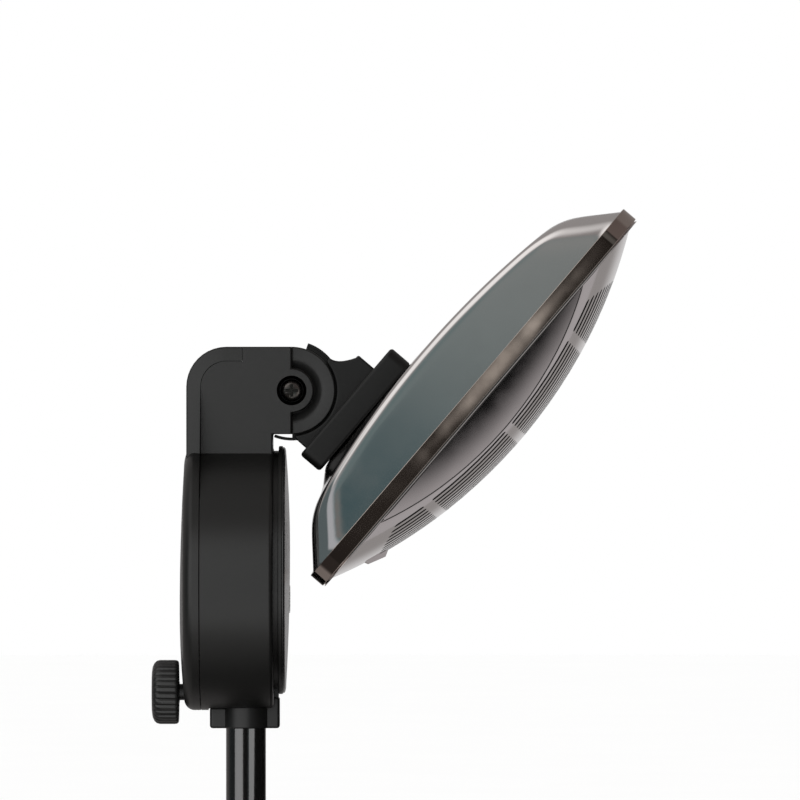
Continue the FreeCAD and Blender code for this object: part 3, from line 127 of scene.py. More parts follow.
look("mat_rubber", (0.012, 0.012, 0.012), (0.02, 0.02, 0.019), (0.75, 0.9), 900, bump=0.4)
look("weight_iron", (0.05, 0.048, 0.046), (0.085, 0.08, 0.075), (0.5, 0.75), 500, bump=0.5, Metallic=0.7)
look("base_paint", (0.008, 0.008, 0.0078), (0.011, 0.011, 0.0105), (0.36, 0.5), 1500, bump=0.25)
look("pole_paint", (0.003, 0.0028, 0.0028), (0.005, 0.0048, 0.0046), (0.1, 0.17), 500, bump=0.03,
     Coat_Weight=0.4, Coat_Roughness=0.06)
look("steel_zinc", (0.5, 0.5, 0.49), (0.6, 0.58, 0.53), (0.25, 0.42), 700, bump=0.1, Metallic=1.0)
look("hinge_steel", (0.16, 0.15, 0.14), (0.24, 0.22, 0.205), (0.2, 0.35), 800, bump=0.1, Metallic=1.0)
look("housing_black", (0.0038, 0.0038, 0.0035), (0.0055, 0.0055, 0.005), (0.34, 0.44), 1700, bump=0.12,
     Specular_IOR_Level=0.35)
look("knob_black", (0.0045, 0.0045, 0.0044), (0.0065, 0.0065, 0.0063), (0.26, 0.38), 1300, bump=0.12,
     Specular_IOR_Level=0.4)
look("cover_gloss", (0.006, 0.006, 0.0063), (0.009, 0.009, 0.0094), (0.2, 0.3), 600, bump=0.02,
     Specular_IOR_Level=0.4)
look("button_silver", (0.72, 0.72, 0.72), (0.82, 0.82, 0.81), (0.25, 0.36), 900, bump=0.05, Metallic=0.6)
look("inner_plastic", (0.03, 0.03, 0.03), (0.045, 0.045, 0.044), (0.5, 0.65), 900, bump=0.2)
look("insert_brass", (0.55, 0.38, 0.14), (0.66, 0.47, 0.2), (0.25, 0.4), 800, Metallic=1.0)
look("board_green", (0.012, 0.07, 0.03), (0.02, 0.1, 0.045), (0.3, 0.45), 400, patch=60)
look("dish_polish", (0.78, 0.76, 0.75), (0.86, 0.83, 0.82), (0.06, 0.13), 40, patch=4, spread=(1, 6, 1),
     bump=0.012, wave=(7, 0.0003), Metallic=1.0)
look("rim_bronze", (0.42, 0.355, 0.32), (0.6, 0.52, 0.475), (0.03, 0.06), 60, patch=11, bump=0.006,
     wave=(30, 0.00003), Metallic=1.0)
look("grille_polish", (0.72, 0.69, 0.685), (0.8, 0.765, 0.755), (0.05, 0.1), 50, patch=5, bump=0.015,
     wave=(9, 0.0004), Metallic=1.0)
# Dark steel for the slot walls, also laid on the dome's crease and foot as painted shade
look("slot_wall_and_painted_shade", (0.03, 0.029, 0.028), (0.05, 0.047, 0.045), (0.45, 0.6), 400, Metallic=0.5)
look("reflector_mirror", (0.7, 0.69, 0.68), (0.8, 0.79, 0.77), (0.12, 0.25), 80, Metallic=1.0)
look("tube_quartz", (0.75, 0.5, 0.42), (0.85, 0.62, 0.54), (0.03, 0.09), 90,
     Transmission_Weight=0.6, IOR=1.46)
look("tube_ceramic", (0.72, 0.7, 0.66), (0.8, 0.78, 0.74), (0.5, 0.7), 600, bump=0.15)
look("floor_pale", (0.983, 0.983, 0.981), (0.989, 0.989, 0.987), (0.7, 0.85), 30, patch=2,
     Specular_IOR_Level=0.0)
for subpart in frame["record"]["subparts"]:
    mesh = frame["nodes"][subpart["node"]].data
    mesh.materials.clear()
    mesh.materials.append(LOOKS[subpart["material_slot"]])


# Mesh helpers
GRIP_SHARE = 0.9
FLUTE_COUNT = 30
FLUTE_DEPTH = 0.9
FLUTE_POWER = 4
MERGE_DISTANCE = 0.001
FLAT_ANGLE = math.radians(0.5)


def halving(low, high, inside):
    """Largest value between two limits that is still inside."""
    for _ in range(40):
        middle = (low + high) / 2
        if inside(middle):
            low = middle
        else:
            high = middle
    return low


def arc(centre, radius, first, last, steps):
    """Points of an arc between two angles."""
    angles = [first + (last - first) * k / steps for k in range(steps + 1)]
    return [Vector((centre[0] + radius * math.cos(t), centre[1] + radius * math.sin(t))) for t in angles]


def rounded(corners, steps=8):
    """Closed outline through corners given as (a, b, radius)."""
    points = []
    for i, (a, b, radius) in enumerate(corners):
        here = Vector((a, b))
        if not radius:
            points.append(here)
            continue
        before = (Vector(corners[i - 1][:2]) - here).normalized()
        after = (Vector(corners[(i + 1) % len(corners)][:2]) - here).normalized()
        half = before.angle(after) / 2
        centre = here + (before + after).normalized() * radius / math.sin(half)
        start = here + before * radius / math.tan(half) - centre
        end = here + after * radius / math.tan(half) - centre
        first = math.atan2(start.y, start.x)
        turn = (math.atan2(end.y, end.x) - first + math.pi) % (2 * math.pi) - math.pi
        points += arc(centre, radius, first, first + turn, steps)
    return points


def oblong(low_a, low_b, high_a, high_b, radius=0):
    """Closed outline of an oblong with rounded corners."""
    return rounded([(low_a, low_b, radius), (high_a, low_b, radius),
                    (high_a, high_b, radius), (low_a, high_b, radius)])


def along_axis(axis, a, b, along):
    """Point with two coordinates across an axis and one along it."""
    return {"X": (along, a, b), "Y": (a, along, b), "Z": (a, b, along)}[axis]


def bridge(bm, first, second, closed=True):
    """Faces between two rows of vertices."""
    count = len(first)
    for i in range(count if closed else count - 1):
        j = (i + 1) % count
        bm.faces.new((first[i], first[j], second[j], second[i]))


def prism(outline, low, high, axis="Y"):
    """Solid with an outline across an axis, between two distances along it."""
    bm = bmesh.new()
    rings = [[bm.verts.new(along_axis(axis, *point, along)) for point in outline] for along in (low, high)]
    for ring in rings:
        bm.faces.new(ring)
    bridge(bm, *rings)
    return bm


def lathe(profile, axis, centre=(0, 0), segments=96, shift=(0, 0), flutes=None):
    """Solid turned about an axis from (along, radius) pairs; a closed loop of pairs makes a ring.

    The middle is moved sideways by shift, and flutes gives the span along the axis that has a grip.
    """
    bm = bmesh.new()
    widest = max(radius for _, radius in profile)
    rings = []
    for along, radius in profile:
        middle = 1 - radius / widest
        a, b = centre[0] + shift[0] * middle, centre[1] + shift[1] * middle
        if not radius:
            rings.append([bm.verts.new(along_axis(axis, a, b, along))])
            continue
        ring = []
        for k in range(segments):
            angle = 2 * math.pi * k / segments
            reach = radius
            if flutes and flutes[0] <= along <= flutes[1] and radius > GRIP_SHARE * widest:
                wave = 0.5 + 0.5 * math.cos(FLUTE_COUNT * angle)
                reach -= FLUTE_DEPTH * wave ** FLUTE_POWER
            spot = along_axis(axis, a + reach * math.cos(angle), b + reach * math.sin(angle), along)
            ring.append(bm.verts.new(spot))
        rings.append(ring)
    pairs = list(zip(rings, rings[1:]))
    if all(len(ring) > 1 for ring in (rings[0], rings[-1])):
        pairs.append((rings[-1], rings[0]))
    for first, second in pairs:
        if len(first) == len(second) == 1:
            continue
        if len(first) == 1 or len(second) == 1:
            tip, ring = (first[0], second) if len(first) == 1 else (second[0], first)
            for k in range(segments):
                bm.faces.new((tip, ring[k], ring[(k + 1) % segments]))
        else:
            bridge(bm, first, second)
    return bm


def peg(low, high, radius, axis, centre=(0, 0), segments=64):
    """Plain round tool for cutting holes."""
    return lathe([(low, 0), (low, radius), (high, radius), (high, 0)], axis, centre, segments)


def sector(profile, centre, first, last, steps=32):
    """Solid turned about a line along Y between two angles, from a closed loop of (radius, y) pairs."""
    bm = bmesh.new()
    rings = []
    for k in range(steps + 1):
        angle = first + (last - first) * k / steps
        across, up = math.cos(angle), math.sin(angle)
        rings.append([bm.verts.new((centre[0] + radius * across, y, centre[1] + radius * up))
                      for radius, y in profile])
    for first_ring, second_ring in zip(rings, rings[1:]):
        bridge(bm, first_ring, second_ring)
    for ring in (rings[0], rings[-1]):
        bm.faces.new(ring)
    return bm


def soften(bm, width, angle=40, steps=2):
    """Rounds the edges that turn by more than an angle."""
    bmesh.ops.recalc_face_normals(bm, faces=bm.faces)
    edges = [edge for edge in bm.edges
             if len(edge.link_faces) == 2 and edge.calc_face_angle() > math.radians(angle)]
    bmesh.ops.bevel(bm, geom=edges, offset=width, segments=steps, profile=0.5, affect="EDGES",
                    clamp_overlap=True)
    return bm


def new_object(name, bm):
    """Object with a mesh, linked to the scene."""
    mesh = bpy.data.meshes.new(name)
    bm.to_mesh(mesh)
    bm.free()
    obj = bpy.data.objects.new(name, mesh)
    bpy.context.scene.collection.objects.link(obj)
    return obj


def loose(bm):
    """Object for a mesh that is still being worked on."""
    bmesh.ops.recalc_face_normals(bm, faces=bm.faces)
    return new_object("form", bm)


def drop(obj):
    """Takes a loose object away."""
    mesh = obj.data
    bpy.data.objects.remove(obj)
    bpy.data.meshes.remove(mesh)


def settled(obj):
    """Mesh of a loose object with its modifiers carried out."""
    bpy.context.view_layer.update()
    done = obj.evaluated_get(bpy.context.evaluated_depsgraph_get())
    bm = bmesh.new()
    bm.from_mesh(done.to_mesh())
    done.to_mesh_clear()
    drop(obj)
    return bm


def combine(operation, bm, *others):
    """Joins other meshes to the first, cuts them away or keeps what they share."""
    for other in others:
        obj, tool = loose(bm), loose(other)
        modifier = obj.modifiers.new("combine", "BOOLEAN")
        modifier.operation = operation
        modifier.solver = "EXACT"
        modifier.object = tool
        bm = settled(obj)
        drop(tool)
    bmesh.ops.remove_doubles(bm, verts=bm.verts, dist=MERGE_DISTANCE)
    bmesh.ops.dissolve_limit(bm, angle_limit=FLAT_ANGLE, verts=bm.verts, edges=bm.edges)
    return bm


def thicken(bm, wall, smooth=0, edge=0):
    """Sheet of a given thickness behind a surface, smoothed by so many levels first.

    The walls along its open edges take the material that is so many places further on.
    """
    obj = loose(bm)
    for _ in range(edge + 1):
        obj.data.materials.append(None)
    if smooth:
        modifier = obj.modifiers.new("smooth", "SUBSURF")
        modifier.levels = modifier.render_levels = smooth
    modifier = obj.modifiers.new("wall", "SOLIDIFY")
    modifier.thickness = wall
    modifier.offset = -1
    modifier.material_offset_rim = edge
    return settled(obj)


def face_along_x(bm, way):
    """Turns a surface so that its faces look along X, forwards for 1 and backwards for -1."""
    bmesh.ops.recalc_face_normals(bm, faces=bm.faces)
    if way * sum(face.normal.x * face.calc_area() for face in bm.faces) < 0:
        bmesh.ops.reverse_faces(bm, faces=bm.faces)


PIECES = []


def piece(name, bm, body, slot, *nodes, place=UPRIGHT, angle=35, second=None, flat=True):
    """Shows a mesh that rides on a body and stands for CAD nodes, with a second finish on marked faces.

    Where it is flat between rounded edges, its normals follow the large faces.
    """
    bmesh.ops.recalc_face_normals(bm, faces=bm.faces)
    bm.transform(place)
    obj = new_object(name, bm)
    mesh = obj.data
    mesh.polygons.foreach_set("use_smooth", [True] * len(mesh.polygons))
    mesh.set_sharp_from_angle(angle=math.radians(angle))
    mesh.materials.append(LOOKS[slot])
    if second:
        mesh.materials.append(LOOKS[second])
    if flat:
        modifier = obj.modifiers.new("flat", "WEIGHTED_NORMAL")
        modifier.keep_sharp = True
    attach(obj, body)
    if nodes:
        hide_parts(*nodes)
    PIECES.append(obj)


# Pan and rim, upright about the hinge
RIM_LOW, RIM_HIGH = node_box("rim_frame", HEAD)
RIM_BACK, RIM_FRONT = RIM_LOW.x, RIM_HIGH.x
RIM_UP = (RIM_LOW.z + RIM_HIGH.z) / 2
RIM_HALF_LENGTH = (RIM_HIGH.z - RIM_LOW.z) / 2
RIM_HALF_WIDTH = RIM_HIGH.y
RIM_CORNER = 26
RIM_CORNER_STEPS = 16
RIM_WALL = 2.2
RIM_SHEET = 1.6
RIM_LIP = 8.6
RIM_FLANGE = 12
DISH_LOW, DISH_HIGH = node_box("rear_dish", HEAD)
DISH_BACK = DISH_LOW.x
DISH_INSET = RIM_HALF_WIDTH - DISH_HIGH.y
DISH_ARCH = 655
DISH_END = math.radians(42.7)
DISH_DRAFT = math.radians(6)
DISH_SIDE_BOW = 5000
DISH_CORNER_ROUND = 18
DISH_EDGE_ROUND = 6
DISH_WALL = 1.2
PAD_SLOPE = math.radians(56)
PAD_HALF_WIDTH = 46
PAD_DROP = 28.7
PAD_ROUND = 3
PAD_BLEND = 3
# Rings of the pan's grid from its mouth to its middle, close together where it turns
DISH_RINGS = (1, 0.994, 0.988, 0.982, 0.976, 0.97, 0.963, 0.955, 0.945, 0.932, 0.916, 0.898, 0.878, 0.855,
              0.83, 0.8, 0.765, 0.725, 0.68, 0.63, 0.575, 0.515, 0.45, 0.38, 0.305, 0.225, 0.14, 0)


def round_max(values, radius):
    """Distance to the overlap of forms, with its edges rounded."""
    inside = [max(value + radius, 0) for value in values]
    if max(inside) == 0:
        return max(values)
    return math.hypot(*inside) - radius


def dish_distance(point):
    """How far a point is outside the pan with its bracket pad."""
    x, y, u = point.x, abs(point.y), abs(point.z - RIM_UP)
    deep = RIM_BACK - x
    bowed = RIM_HALF_WIDTH - DISH_INSET - u * u / (2 * DISH_SIDE_BOW)
    side = (y - bowed) * math.cos(DISH_DRAFT) + deep * math.sin(DISH_DRAFT)
    end = (u - RIM_HALF_LENGTH + DISH_INSET) * math.sin(DISH_END) + deep * math.cos(DISH_END)
    back = math.hypot(x - DISH_BACK - DISH_ARCH, u) - DISH_ARCH
    pan = round_max((round_max((side, end), DISH_CORNER_ROUND), back), DISH_EDGE_ROUND)
    rise = x - DISH_BACK
    past = (y - PAD_HALF_WIDTH, -point.z - PAD_DROP, point.z - RIM_UP)
    slopes = [far * math.sin(PAD_SLOPE) - rise * math.cos(PAD_SLOPE) for far in past]
    pad = round_max((-rise, *slopes), PAD_ROUND)
    mix = max(PAD_BLEND - abs(pan - pad), 0) / PAD_BLEND
    return min(pan, pad) - mix * mix * PAD_BLEND / 4


def on_dish(y, u):
    """Point of the pan's surface behind a spot of its mouth."""
    deep = halving(0, RIM_BACK - DISH_BACK + 1,
                   lambda far: dish_distance(Vector((RIM_BACK - far, y, RIM_UP + u))) < 0)
    return Vector((RIM_BACK - deep, y, RIM_UP + u))


def dish_mouth(a, b):
    """Point (y, u) of the pan's edge on the rim for a point on the edge of the unit square."""
    flip = abs(b) < abs(a)
    run, side = (b, a) if flip else (a, b)
    sizes = (RIM_HALF_WIDTH, RIM_HALF_LENGTH) if flip else (RIM_HALF_LENGTH, RIM_HALF_WIDTH)
    corner = RIM_CORNER - DISH_INSET
    straight, inner = (size - DISH_INSET - corner for size in sizes)
    way = run * (straight + corner * math.pi / 4)
    turn = max(abs(way) - straight, 0) / corner
    far = math.copysign(min(abs(way), straight) + corner * math.sin(turn), way)
    near = math.copysign(inner + corner * math.cos(turn), side)
    y, u = (far, near) if flip else (near, far)
    scale = halving(0.8, 1.2,
                    lambda size: dish_distance(Vector((RIM_BACK, y * size, RIM_UP + u * size))) < 0)
    return y * scale, u * scale


def build_dish():
    """Polished pan as a grid that is dense at its edges and drawn onto the rounded form."""
    rings = len(DISH_RINGS) - 1
    bm = bmesh.new()
    grid = {}
    for i in range(-rings, rings + 1):
        for j in range(-rings, rings + 1):
            ring = max(abs(i), abs(j))
            scale = DISH_RINGS[rings - ring]
            y, u = dish_mouth(i / ring, j / ring) if ring else (0, 0)
            grid[i, j] = bm.verts.new(on_dish(y * scale, u * scale))
    for i in range(-rings, rings):
        for j in range(-rings, rings):
            bm.faces.new((grid[i, j], grid[i + 1, j], grid[i + 1, j + 1], grid[i, j + 1]))
    face_along_x(bm, -1)
    shell = thicken(bm, DISH_WALL, smooth=1)
    piece("dish_shell", shell, "head", "dish_polish", "rear_dish", place=HEAD, flat=False)


def build_rim():
    """Dark band, a rounded section carried round the oblong."""
    inner_front, inner_back = RIM_FRONT - RIM_SHEET, RIM_BACK + RIM_SHEET
    section = rounded([(0, RIM_BACK, 0.4), (0, RIM_FRONT, 0.6),
                       (-RIM_LIP, RIM_FRONT, 0.8), (-RIM_LIP, inner_front, 0.5),
                       (-RIM_WALL, inner_front, 0.3), (-RIM_WALL, inner_back, 0.3),
                       (-RIM_FLANGE, inner_back, 0.5), (-RIM_FLANGE, RIM_BACK, 0.8)], 4)
    path = []
    for quarter, (way_y, way_u) in enumerate(((1, 1), (-1, 1), (-1, -1), (1, -1))):
        centre = Vector((way_y * (RIM_HALF_WIDTH - RIM_CORNER), way_u * (RIM_HALF_LENGTH - RIM_CORNER)))
        for k in range(RIM_CORNER_STEPS + 1):
            turn = math.pi / 2 * (quarter + k / RIM_CORNER_STEPS)
            path.append((centre, Vector((math.cos(turn), math.sin(turn)))))
    bm = bmesh.new()
    loops = []
    for offset in section:
        ring = []
        for centre, out in path:
            spot = centre + out * (RIM_CORNER + offset.x)
            ring.append(bm.verts.new((offset.y, spot.x, RIM_UP + spot.y)))
        loops.append(ring)
    for first, second in zip(loops, loops[1:] + loops[:1]):
        bridge(bm, first, second)
    piece("rim_band", bm, "head", "rim_bronze", "rim_frame", place=HEAD)


# Slotted dome and its bare plate
GRILLE_WALL = 1.4
GRILLE_INSET = GRILLE_WALL / 2
LAND_X = RIM_FRONT + GRILLE_WALL
LAND_WIDTH = 5.6
LAND_SIDE_WIDTH = 2.5
# Inset and depth of the land's rounded edge
LAND_EDGE = ((0.5, 0), (0.15, 0.15), (0, 0.5))
DOME_RISE = node_box("front_grille", HEAD)[1].x - LAND_X
DOME_FOOT = RIM_HALF_LENGTH - LAND_WIDTH
DOME_WELD = 0.01
DOME_RADIUS = (DOME_FOOT ** 2 + DOME_RISE ** 2) / (2 * DOME_RISE)
FACET_FOOT = RIM_HALF_WIDTH - LAND_SIDE_WIDTH
FACET_SLOPE = math.tan(math.radians(52.2))
FACET_TIP = math.sqrt(DOME_FOOT ** 2 - FACET_FOOT ** 2)
CREASE_DEPTH = 0.5
CREASE_HALF_WIDTH = 0.5
CREASE_SHARE = 0.3
# Rows of facet faces at the crease that get painted shade
CREASE_SHADE_ROWS = (3, 4)
SLOT_PITCH = 9
SLOT_WIDTH = 4.2
SLOT_NIP = 0.29
SLOT_COLUMNS = 22
SLOT_REACH = 127
SLOT_END_RADIUS = 200
SLOT_FIELD = SLOT_PITCH * SLOT_COLUMNS / 2
BAR_SPACING = 76
BAR_WIDTH = 7
ROW_STEPS = 5
BORDER_SHARES = (0.2, 0.4, 0.6, 0.8, 0.97, 1)
# Painted shade round the dome's foot, a dark band: height, largest share of a facet and room for its upper edge
FOOT_SHADE_HEIGHT = 0.9
FOOT_SHADE_SHARE = 0.2
FOOT_SHADE_ROOM = 0.1
PLATE_MIDDLE = 129
PLATE_LEAN = math.radians(-5)
PLATE_CORNER = 2.5
# Half width, half height and height of the bare plate's foot, shoulder and top
PLATE_RINGS = ((15.5, 10.5, -1.5), (12, 7, 2.1), (11.7, 6.7, 2.4))


def dome_rise(y, u):
    """Height of the dome's ball over the land."""
    return max(math.sqrt(DOME_RADIUS ** 2 - y * y - u * u) - DOME_RADIUS + DOME_RISE, 0)


def crease_at(u):
    """Distance from the middle at which the ball meets the side facet."""
    return halving(0, FACET_FOOT, lambda y: dome_rise(y, u) < (FACET_FOOT - y) * FACET_SLOPE)


def slot_lines(y):
    """Distances along one line of the dome: bars, ends of the slots, steps between and the foot."""
    end = SLOT_WIDTH / 2
    reach = SLOT_REACH - SLOT_END_RADIUS + math.sqrt(SLOT_END_RADIUS ** 2 - y * y)
    foot = math.sqrt(DOME_FOOT ** 2 - y * y)
    lines = []
    for low, high in ((BAR_WIDTH / 2, BAR_SPACING - BAR_WIDTH / 2), (BAR_SPACING + BAR_WIDTH / 2, reach)):
        step = (high - low - 2 * end) / ROW_STEPS
        lines += [low, *(low + end + step * k for k in range(ROW_STEPS + 1)), high]
    lines += [reach + (foot - reach) * share for share in BORDER_SHARES]
    return [-u for u in reversed(lines)] + [0] + lines


def facet_columns():
    """For each line of the field's edge, the (y, u, height) spots over ball, crease and side facet."""
    lines = slot_lines(SLOT_FIELD)
    inner_turn = math.atan2(lines[-1], SLOT_FIELD)
    tip_turn = math.atan2(FACET_TIP, FACET_FOOT)
    for u in lines:
        far = FACET_TIP * u / lines[-1]
        crease = crease_at(far)
        lip = min(CREASE_HALF_WIDTH, CREASE_SHARE * min(FACET_FOOT - crease, crease - SLOT_FIELD))
        spots = []
        for share in (1 / 3, 2 / 3, 1 - lip / (crease - SLOT_FIELD)):
            y, v = SLOT_FIELD + (crease - SLOT_FIELD) * share, u + (far - u) * share
            if abs(u) == lines[-1]:
                turn = inner_turn + (tip_turn - inner_turn) * share
                y, v = DOME_FOOT * math.cos(turn), math.copysign(DOME_FOOT * math.sin(turn), u)
            spots.append((y, v, dome_rise(y, v)))
        spots.append((crease, far, dome_rise(crease, far) - CREASE_DEPTH * lip / CREASE_HALF_WIDTH))
        width = FACET_FOOT - crease - lip
        # Share at which the band of painted shade at the facet's foot begins
        last = 1 - min(FOOT_SHADE_HEIGHT / FACET_SLOPE / max(width, FOOT_SHADE_HEIGHT), FOOT_SHADE_SHARE)
        for share in (0, 1 / 3, 2 / 3, last, 1):
            y = crease + lip + width * share
            spots.append((y, far, (FACET_FOOT - y) * FACET_SLOPE))
        yield spots


def oblong_reach(y, u, inset):
    """Point of the rim's outline, inset, in the direction of a point."""
    def inside(scale):
        past = (abs(y) * scale - RIM_HALF_WIDTH + RIM_CORNER, abs(u) * scale - RIM_HALF_LENGTH + RIM_CORNER)
        out = math.hypot(max(past[0], 0), max(past[1], 0)) + min(max(past), 0)
        return out < RIM_CORNER - inset

    scale = halving(0.0, 4.0, inside)
    return y * scale, u * scale


def slot_field(bm):
    """Rows of vertices over the dome's middle, with faces between them except in the slots."""
    half = SLOT_WIDTH / 2
    nip = half * SLOT_NIP
    across = []
    for column in range(SLOT_COLUMNS):
        middle = (column + 0.5) * SLOT_PITCH - SLOT_FIELD
        across += [(middle - SLOT_PITCH / 2, 0), (middle - half, 1), (middle, 0), (middle + half, -1)]
    across.append((SLOT_FIELD, 0))
    centre = len(slot_lines(0)) // 2
    row_length = ROW_STEPS + 3
    starts = (1, 1 + row_length)
    ends = (row_length, 2 * row_length)
    field = []
    for y, edge in across:
        row = []
        for index, u in enumerate(slot_lines(y)):
            place = abs(index - centre)
            at = y
            if edge and place in starts + ends:
                at += edge * nip
                u += math.copysign(nip, index - centre) * (1 if place in starts else -1)
            row.append(bm.verts.new((LAND_X + dome_rise(at, u), at, RIM_UP + u)))
        field.append(row)
    for column, (left, right) in enumerate(zip(field, field[1:])):
        for k in range(len(left) - 1):
            place = abs(k + 0.5 - centre) - 0.5
            open_row = any(start <= place < end for start, end in zip(starts, ends))
            if not (column % 4 in (1, 2) and open_row):
                bm.faces.new((left[k], right[k], right[k + 1], left[k + 1]))
    return field


def build_grille():
    """Sheet dome with four rows of round-ended slots, two side facets and a flat land on the rim."""
    bm = bmesh.new()
    field = slot_field(bm)
    columns = list(facet_columns())
    for side, edge in ((1, field[-1]), (-1, field[0])):
        rows = [edge]
        for k in range(len(columns[0])):
            rows.append([bm.verts.new((LAND_X + spots[k][2], side * spots[k][0], RIM_UP + spots[k][1]))
                         for spots in columns])
        for k, (first, second) in enumerate(zip(rows, rows[1:])):
            bridge(bm, first, second, closed=False)
            # The crease rows take the dark finish: painted shade along the crease
            if k in CREASE_SHADE_ROWS:
                bm.faces.ensure_lookup_table()
                for face in bm.faces[1 - len(first):]:
                    face.material_index = 1
    bmesh.ops.remove_doubles(bm, verts=bm.verts, dist=DOME_WELD)
    # Faces low by the land take the dark finish: painted shade round the dome's foot
    for face in bm.faces:
        if max(vertex.co.x for vertex in face.verts) < LAND_X + FOOT_SHADE_HEIGHT + FOOT_SHADE_ROOM:
            face.material_index = 1
    foot = {vertex for edge in bm.edges if edge.is_boundary
            for vertex in edge.verts if vertex.co.x < LAND_X + DOME_WELD}
    loop = sorted(foot, key=lambda vertex: math.atan2(vertex.co.z - RIM_UP, vertex.co.y))
    for inset, sink in LAND_EDGE:
        spots = [oblong_reach(vertex.co.y, vertex.co.z - RIM_UP, GRILLE_INSET + inset) for vertex in loop]
        outer = [bm.verts.new((LAND_X - sink, y, RIM_UP + u)) for y, u in spots]
        bridge(bm, loop, outer)
        loop = outer
    face_along_x(bm, 1)
    sheet = thicken(bm, GRILLE_WALL, edge=1)
    for face in sheet.faces:
        if face.calc_center_median().x < LAND_X:
            face.material_index = 0
    piece("grille_dome", sheet, "head", "grille_polish", "front_grille", place=HEAD, second="slot_wall_and_painted_shade",
          flat=False)


def build_plate():
    """Small bare plate on the dome's lower end, a little proud at its lower edge."""
    far = -PLATE_MIDDLE
    lean = math.asin(far / DOME_RADIUS) + PLATE_LEAN
    spot = Vector((LAND_X + dome_rise(0, far), 0, RIM_UP + far))
    seat = Matrix.Translation(spot) @ Matrix.Rotation(-lean, 4, "Y")
    bm = bmesh.new()
    rings = []
    for half_width, half_height, x in PLATE_RINGS:
        outline = oblong(-half_width, -half_height, half_width, half_height, PLATE_CORNER)
        rings.append([bm.verts.new((x, *point)) for point in outline])
    for first, second in zip(rings, rings[1:]):
        bridge(bm, first, second)
    bm.faces.new(rings[0])
    bm.faces.new(rings[-1])
    piece("bare_plate", bm, "head", "grille_polish", "plain_plate", place=HEAD @ seat)


# Tilt bracket, upright about the hinge
MOUNT_BACK = 33.65
MOUNT_LOW, MOUNT_HIGH = -30.2, 67.8
MOUNT_HALF_WIDTH = 42
MOUNT_CORNER = 7
NECK_HALF_WIDTH = 26
NECK_TOP = 49
NECK_STEP = 19.25
NECK_STEP_HEIGHT = 2.5
NECK_FOOT = -24.2
NECK_FOOT_X = 24.6
NECK_OVERLAP = 3
HOLLOW_END = 5.5
HOLLOW_DROP = 12
HOLLOW_SHARES = (0.12, 0.25, 0.4, 0.55, 0.7, 0.85, 1)
BOSS_CLEARANCE = 31.3
BOSS_SPAN = (math.radians(80), math.radians(-46))
KNUCKLE_HALF_WIDTH = 12.7
KNUCKLE_RADIUS = 26
KNUCKLE_EDGE = 0.8
KNUCKLE_HOLE = 4.2
WEB_HALF_HEIGHT = 13
WEB_HOLE = 10
SHIELD_RADIUS = 35
SHIELD_WALL = 2
SHIELD_SPAN = (math.radians(-70.5), math.radians(111.5))
CORE_START = math.radians(-49)
CORE_INSET = 0.3


def build_bracket():
    """Knuckle in the fork, neck with a hollow back, and the plate that carries the pan."""
    mount = prism(oblong(-MOUNT_HALF_WIDTH, MOUNT_LOW, MOUNT_HALF_WIDTH, MOUNT_HIGH, MOUNT_CORNER),
                  MOUNT_BACK, DISH_BACK, "X")
    mount = soften(mount, 2.2, 60, 3)
    shoulder = NECK_TOP - NECK_STEP_HEIGHT
    side = rounded([(MOUNT_BACK + NECK_OVERLAP, NECK_TOP, 0), (NECK_STEP, NECK_TOP, 1.5),
                    (NECK_STEP, shoulder, 0)], 5)
    side += [Vector((NECK_STEP + (HOLLOW_END - NECK_STEP) * t, shoulder - HOLLOW_DROP * (1 - (1 - t) ** 2)))
             for t in HOLLOW_SHARES]
    side += arc((0, 0), BOSS_CLEARANCE, *BOSS_SPAN, 24)
    side += [Vector((NECK_FOOT_X, NECK_FOOT + 0.3)), Vector((MOUNT_BACK + NECK_OVERLAP, NECK_FOOT))]
    neck = soften(prism(side, -NECK_HALF_WIDTH, NECK_HALF_WIDTH), 1.6, 50, 3)
    flank, bevelled = KNUCKLE_HALF_WIDTH, KNUCKLE_RADIUS - KNUCKLE_EDGE
    barrel = lathe([(-flank, KNUCKLE_HOLE), (-flank, bevelled), (KNUCKLE_EDGE - flank, KNUCKLE_RADIUS),
                    (flank - KNUCKLE_EDGE, KNUCKLE_RADIUS), (flank, bevelled), (flank, KNUCKLE_HOLE)], "Y")
    web = prism(oblong(0, -WEB_HALF_HEIGHT, MOUNT_BACK + 2, WEB_HALF_HEIGHT), -flank, flank)
    web = combine("DIFFERENCE", web, peg(-20, 20, WEB_HOLE, "Y", segments=96))
    first, last = SHIELD_SPAN
    curve = arc((0, 0), SHIELD_RADIUS, first, last, 40)
    curve += arc((0, 0), SHIELD_RADIUS - SHIELD_WALL, last, first, 40)
    shield = soften(prism(curve, -flank, flank), 0.4, 50)
    filled = [Vector((0, 0)), *arc((0, 0), SHIELD_RADIUS - 0.5, CORE_START, last, 32)]
    core = prism(filled, CORE_INSET - flank, flank - CORE_INSET)
    bm = combine("UNION", mount, neck, shield, web, barrel, core)
    piece("tilt_knuckle", bm, "head", "housing_black", "tilt_bracket", place=HEAD)


